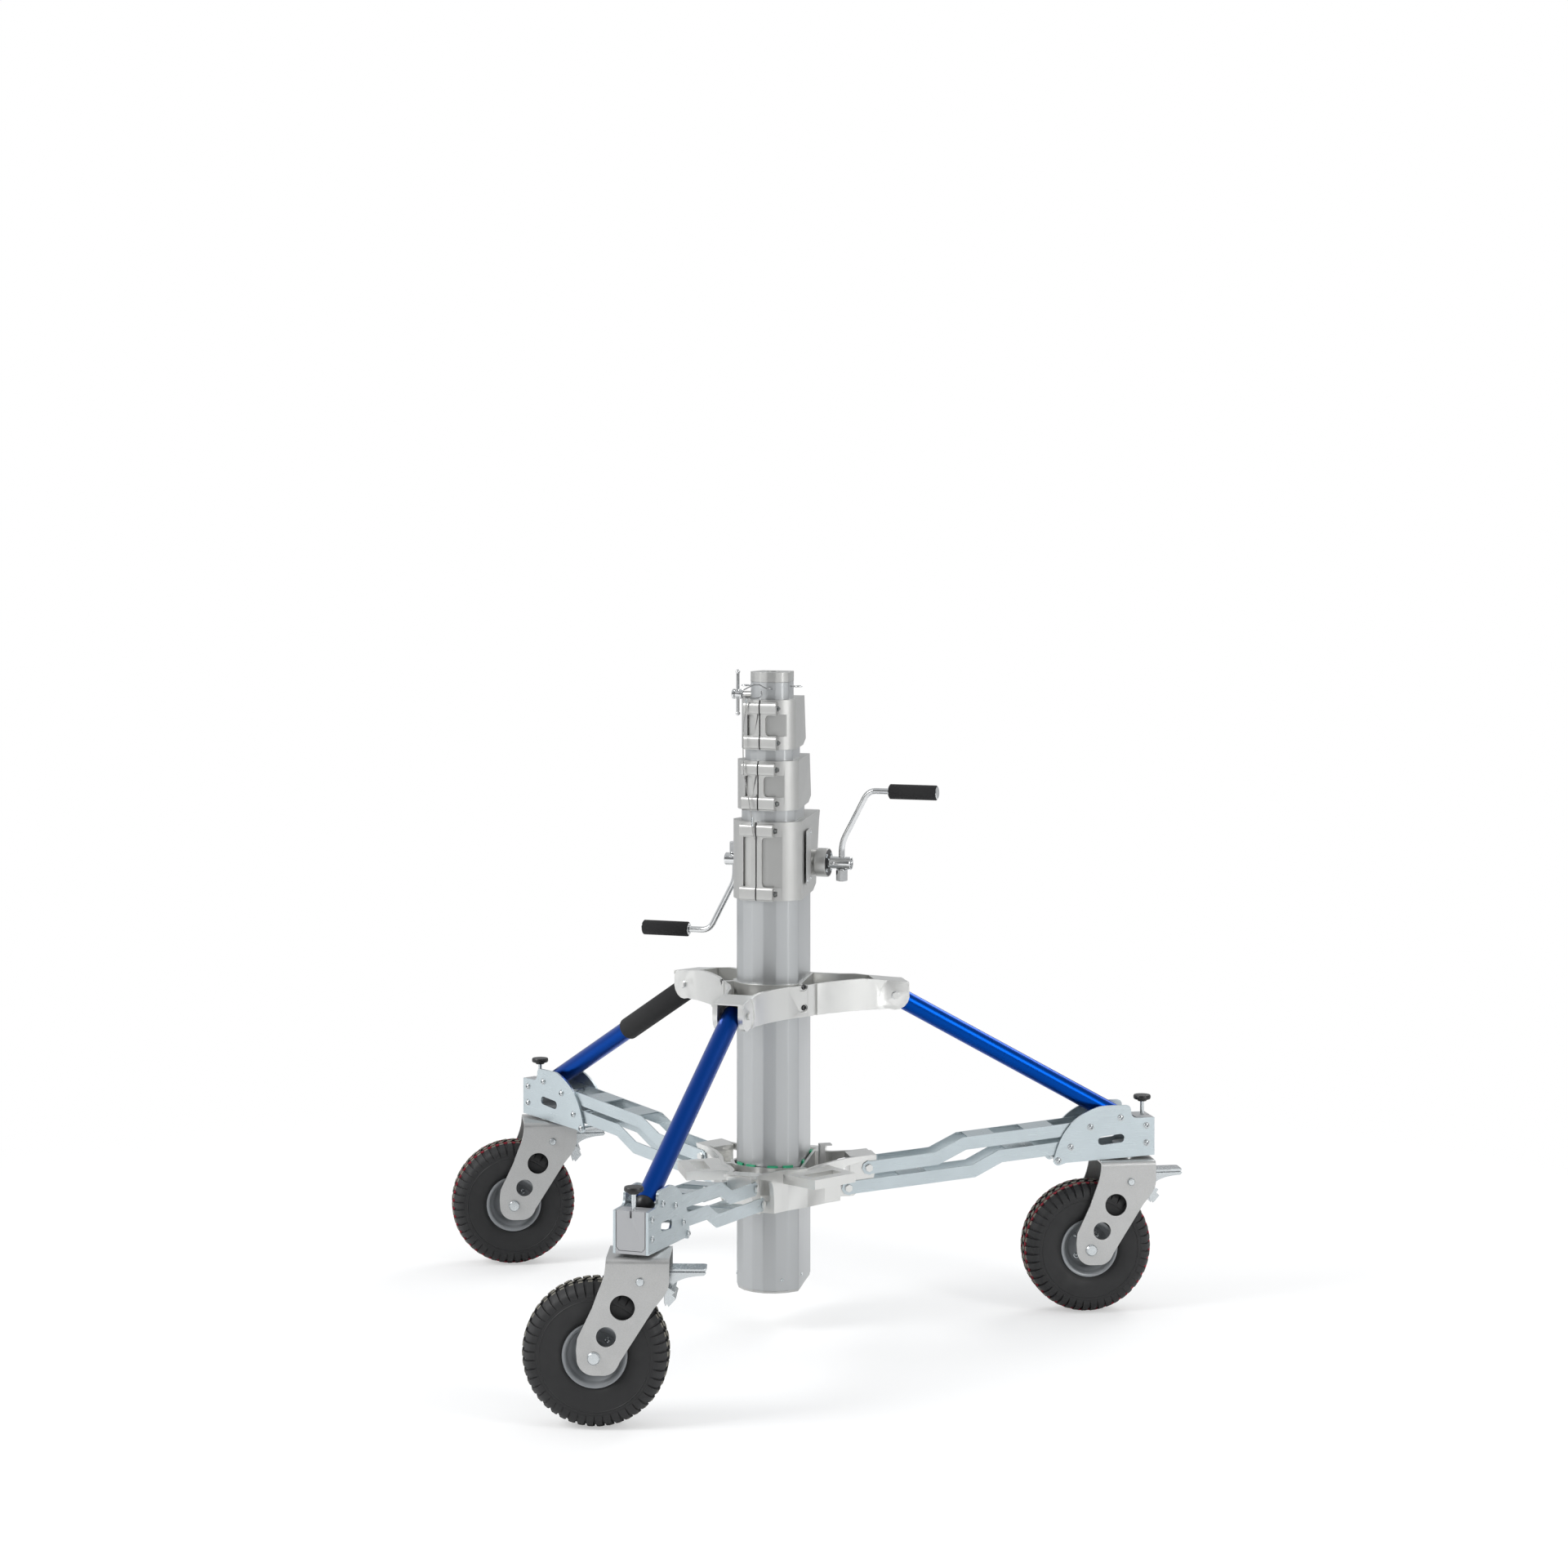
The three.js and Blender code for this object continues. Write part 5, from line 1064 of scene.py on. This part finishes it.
class STAND_OT_head(bpy.types.Operator):
    """Builds the spigot socket, its clamp screw with the tommy bar, and the ring eyes"""

    bl_idname = "stand.head"
    bl_label = "Head"

    def execute(self, context):
        bore = circle((0, 0), 14.3, 48)
        screw_start, outward = (0, 0, 1254), (-1, 0, 0)
        socket = [
            prism(grown("section_4", 0.4), 1280.7, 1300, [bore]),
            prism(grown("section_4", -3.8), 1225, 1290, [bore]),
            prism(grown("section_4", -3.8), 1212, 1225),
            lathe([(5.4, 30), (6.5, 30), (6.5, 61.4), (6, 62.4), (5.4, 62.4)], 32, screw_start, outward),
        ]
        finish(socket, "head_socket_casting", "mast_4", "blasted", "head_socket", MAST, rounding=0.6,
               smooth=30)
        rings = []
        for side in SIDES:
            section = circle((7.2, 0), 1.6, 12)
            rings.append(lathe([*section, section[0]], 40, (side * 54.3, -7, 1272)))
            rings.append(rod(1.6, (side * 34, -7, 1272), (side * 48, -7, 1272), 16))
        finish(rings, "head_ring_eyes", "mast_4", "chromed", place=MAST, smooth=50)
        collar = [(0, 63), (9, 63), (10, 64), (10, 67.5), (6.5, 69), (6.5, 78), (10, 79.5), (10, 83), (9, 84),
                  (0, 84)]
        screw = [rod(5, (-14.7, 0, 1254), (-66, 0, 1254), 24), lathe(collar, 40, screw_start, outward)]
        finish(screw, "clamp_screw_steel", "clamp", "chromed", "clamp_screw", MAST, smooth=30)
        bar = [(0, 1211.4), *arc((0, 1216), 4.6, -75, 45, 8), (3.3, 1220),
               (3.3, 1294), *arc((0, 1298), 4.6, -45, 75, 8), (0, 1302.6)]
        finish([lathe(bar, 32, (-73.5, 0, 0))], "tommy_bar_steel", "clamp_bar", "chromed", "tommy_bar", MAST,
               smooth=40)
        points = [(AXIS + Vector(point)) * MM for point in CLIP]
        hand_over(wire("safety_clip_wire", points, CLIP_RADIUS * MM), "mast_4", "spring_steel", "safety_clip")
        return {"FINISHED"}


class STAND_OT_lanyard(bpy.types.Operator):
    """Builds the thin steel lanyard that hangs from the spring clip"""

    bl_idname = "stand.lanyard"
    bl_label = "Lanyard"

    def execute(self, context):
        points = [(AXIS + Vector(point)) * MM for point in LANYARD]
        rope = wire("lanyard_rope", points, ROPE_RADIUS * MM)
        hand_over(rope, "mast_4", "steel_rope", "lanyard")
        ferrules = [rod(1.9, LANYARD[-4], LANYARD[-3], 16), rod(1.7, LANYARD[0], LANYARD[1], 16)]
        finish(ferrules, "lanyard_ferrules", "mast_4", "bolt", place=MAST)
        return {"FINISHED"}


class STAND_OT_stage(bpy.types.Operator):
    """Sets the camera at the photograph's angle, the floor and the soft lights"""

    bl_idname = "stand.stage"
    bl_label = "Stage"

    def execute(self, context):
        scene = context.scene
        scene.view_settings.view_transform = "Standard"
        self.camera(scene)
        self.floor()
        for name, place, size, share in LAMPS:
            data = bpy.data.lights.new(name, "AREA")
            data.shape = "RECTANGLE"
            data.size, data.size_y = size
            data.energy = settings().lamp_power * share
            place = Vector(place)
            show(name, data).matrix_world = aimed(place, Vector((0, 0, 0.7)) - place, "-Z")
        self.room(scene)
        return {"FINISHED"}

    def camera(self, scene):
        east, north = sin(VIEW_AZIMUTH), cos(VIEW_AZIMUTH)
        eye = AXIS + Vector((VIEW_ASIDE * north + VIEW_DISTANCE * east,
                             VIEW_ASIDE * east - VIEW_DISTANCE * north, VIEW_HEIGHT))
        data = bpy.data.cameras.new("camera")
        data.lens = LENS
        data.sensor_width = SENSOR
        data.shift_x = (PICTURE / 2 - VIEW_CENTRE[0]) / PICTURE
        data.shift_y = (VIEW_CENTRE[1] - PICTURE / 2) / PICTURE
        data.clip_end = 200
        camera = show("camera", data)
        camera.matrix_world = (Matrix.Translation(eye * MM) @ Matrix.Rotation(VIEW_AZIMUTH, 4, "Z")
                               @ Matrix.Rotation(pi / 2, 4, "X"))
        scene.camera = camera

    def floor(self):
        """Painted white, and seen as plain white away from the stand, so that near shadows alone show."""
        bm = bmesh.new()
        bmesh.ops.create_grid(bm, x_segments=1, y_segments=1, size=60)
        floor = show("floor", to_mesh(bm, "floor"))
        material, tree, shader = start_material("white floor, painted")
        place = add_node(tree, "ShaderNodeTexCoord").outputs["Object"]
        away = add_node(tree, "ShaderNodeVectorMath", {0: place}, operation="LENGTH").outputs["Value"]
        far = add_node(tree, "ShaderNodeMapRange", {
            "Value": away, "From Min": 0.9, "From Max": 2.6, "To Min": 0.45}).outputs["Result"]
        seen = add_node(tree, "ShaderNodeLightPath").outputs["Is Camera Ray"]
        both = add_node(tree, "ShaderNodeMath", {0: far, 1: seen}, operation="MULTIPLY").outputs["Value"]
        set_inputs(tree, shader, {
            "Base Color": (*linear("#fafafa"), 1), "Roughness": 0.8, "Specular IOR Level": 0.1})
        white = add_node(tree, "ShaderNodeEmission", {"Color": (1, 1, 1, 1), "Strength": 1.0})
        mix = add_node(tree, "ShaderNodeMixShader", {
            0: both, 1: shader.outputs["BSDF"], 2: white.outputs["Emission"]})
        tree.links.new(mix.outputs["Shader"], tree.nodes["Material Output"].inputs["Surface"])
        floor.data.materials.append(material)

    def room(self, scene):
        """White behind the stand, and the walls that its metal mirrors, by their way from the camera."""
        world = bpy.data.worlds.new("studio")
        scene.world = world
        world.use_nodes = True
        tree = world.node_tree
        light = tree.nodes["Background"]
        way = add_node(tree, "ShaderNodeTexCoord").outputs["Generated"]
        east, north = sin(VIEW_AZIMUTH), cos(VIEW_AZIMUTH)
        ahead, aside = (
            add_node(tree, "ShaderNodeVectorMath", {0: way, 1: axis}, operation="DOT_PRODUCT").outputs[1]
            for axis in ((east, -north, 0), (north, east, 0)))
        angle = add_node(tree, "ShaderNodeMath", {0: aside, 1: ahead}, operation="ARCTAN2").outputs["Value"]
        share = add_node(tree, "ShaderNodeMapRange", {
            "Value": angle, "From Min": -pi, "From Max": pi}).outputs["Result"]
        ramp = add_node(tree, "ShaderNodeValToRGB", {"Fac": share})
        stops = ramp.color_ramp.elements
        for i, (degrees, strength) in enumerate(WALLS):
            place = (degrees + 180) / 360
            stop = stops[0] if i == 0 else stops[-1] if degrees == 180 else stops.new(place)
            stop.position = place
            stop.color = (strength, strength, strength, 1)
        height = add_node(tree, "ShaderNodeSeparateXYZ", {"Vector": way}).outputs["Z"]
        height = add_node(tree, "ShaderNodeMath", {0: height}, operation="ABSOLUTE").outputs["Value"]
        upward = add_node(tree, "ShaderNodeMapRange", {
            "Value": height, "From Min": 0.5, "From Max": 0.9}).outputs["Result"]
        walls = add_node(tree, "ShaderNodeMix", {0: upward, 2: ramp.outputs["Color"], 3: CEILING},
                         data_type="FLOAT")
        set_inputs(tree, light, {"Color": (*linear("#eef0f2"), 1), "Strength": walls.outputs[0]})
        seen = add_node(tree, "ShaderNodeLightPath").outputs["Is Camera Ray"]
        white = add_node(tree, "ShaderNodeBackground", {"Color": (1, 1, 1, 1), "Strength": 1.0})
        mix = add_node(tree, "ShaderNodeMixShader", {
            0: seen, 1: light.outputs["Background"], 2: white.outputs["Background"]})
        tree.links.new(mix.outputs["Shader"], tree.nodes["World Output"].inputs["Surface"])


OPERATORS = (
    STAND_OT_stage, STAND_OT_lanyard, STAND_OT_mast, STAND_OT_collars, STAND_OT_brackets, STAND_OT_links,
    STAND_OT_end_boxes, STAND_OT_struts, STAND_OT_castors, STAND_OT_cranks, STAND_OT_head,
)


class STAND_PT_panel(bpy.types.Panel):
    """Sizes, colours and one button for each group of pieces"""

    bl_idname = "STAND_PT_panel"
    bl_label = "Roller stand"
    bl_space_type = "VIEW_3D"
    bl_region_type = "UI"
    bl_category = "Stand"

    def draw(self, context):
        for name in StandSettings.__annotations__:
            self.layout.prop(context.scene.roller_stand, name)
        for operator in OPERATORS:
            self.layout.operator(operator.bl_idname)


CLASSES = (StandSettings, *OPERATORS, STAND_PT_panel)


def register():
    for item in CLASSES:
        bpy.utils.register_class(item)
    bpy.types.Scene.roller_stand = bpy.props.PointerProperty(type=StandSettings)


def unregister():
    del bpy.types.Scene.roller_stand
    for item in reversed(CLASSES):
        bpy.utils.unregister_class(item)


def main():
    register()
    for operator in OPERATORS:
        group, name = operator.bl_idname.split(".")
        getattr(getattr(bpy.ops, group), name)()


if __name__ == "__main__":
    main()
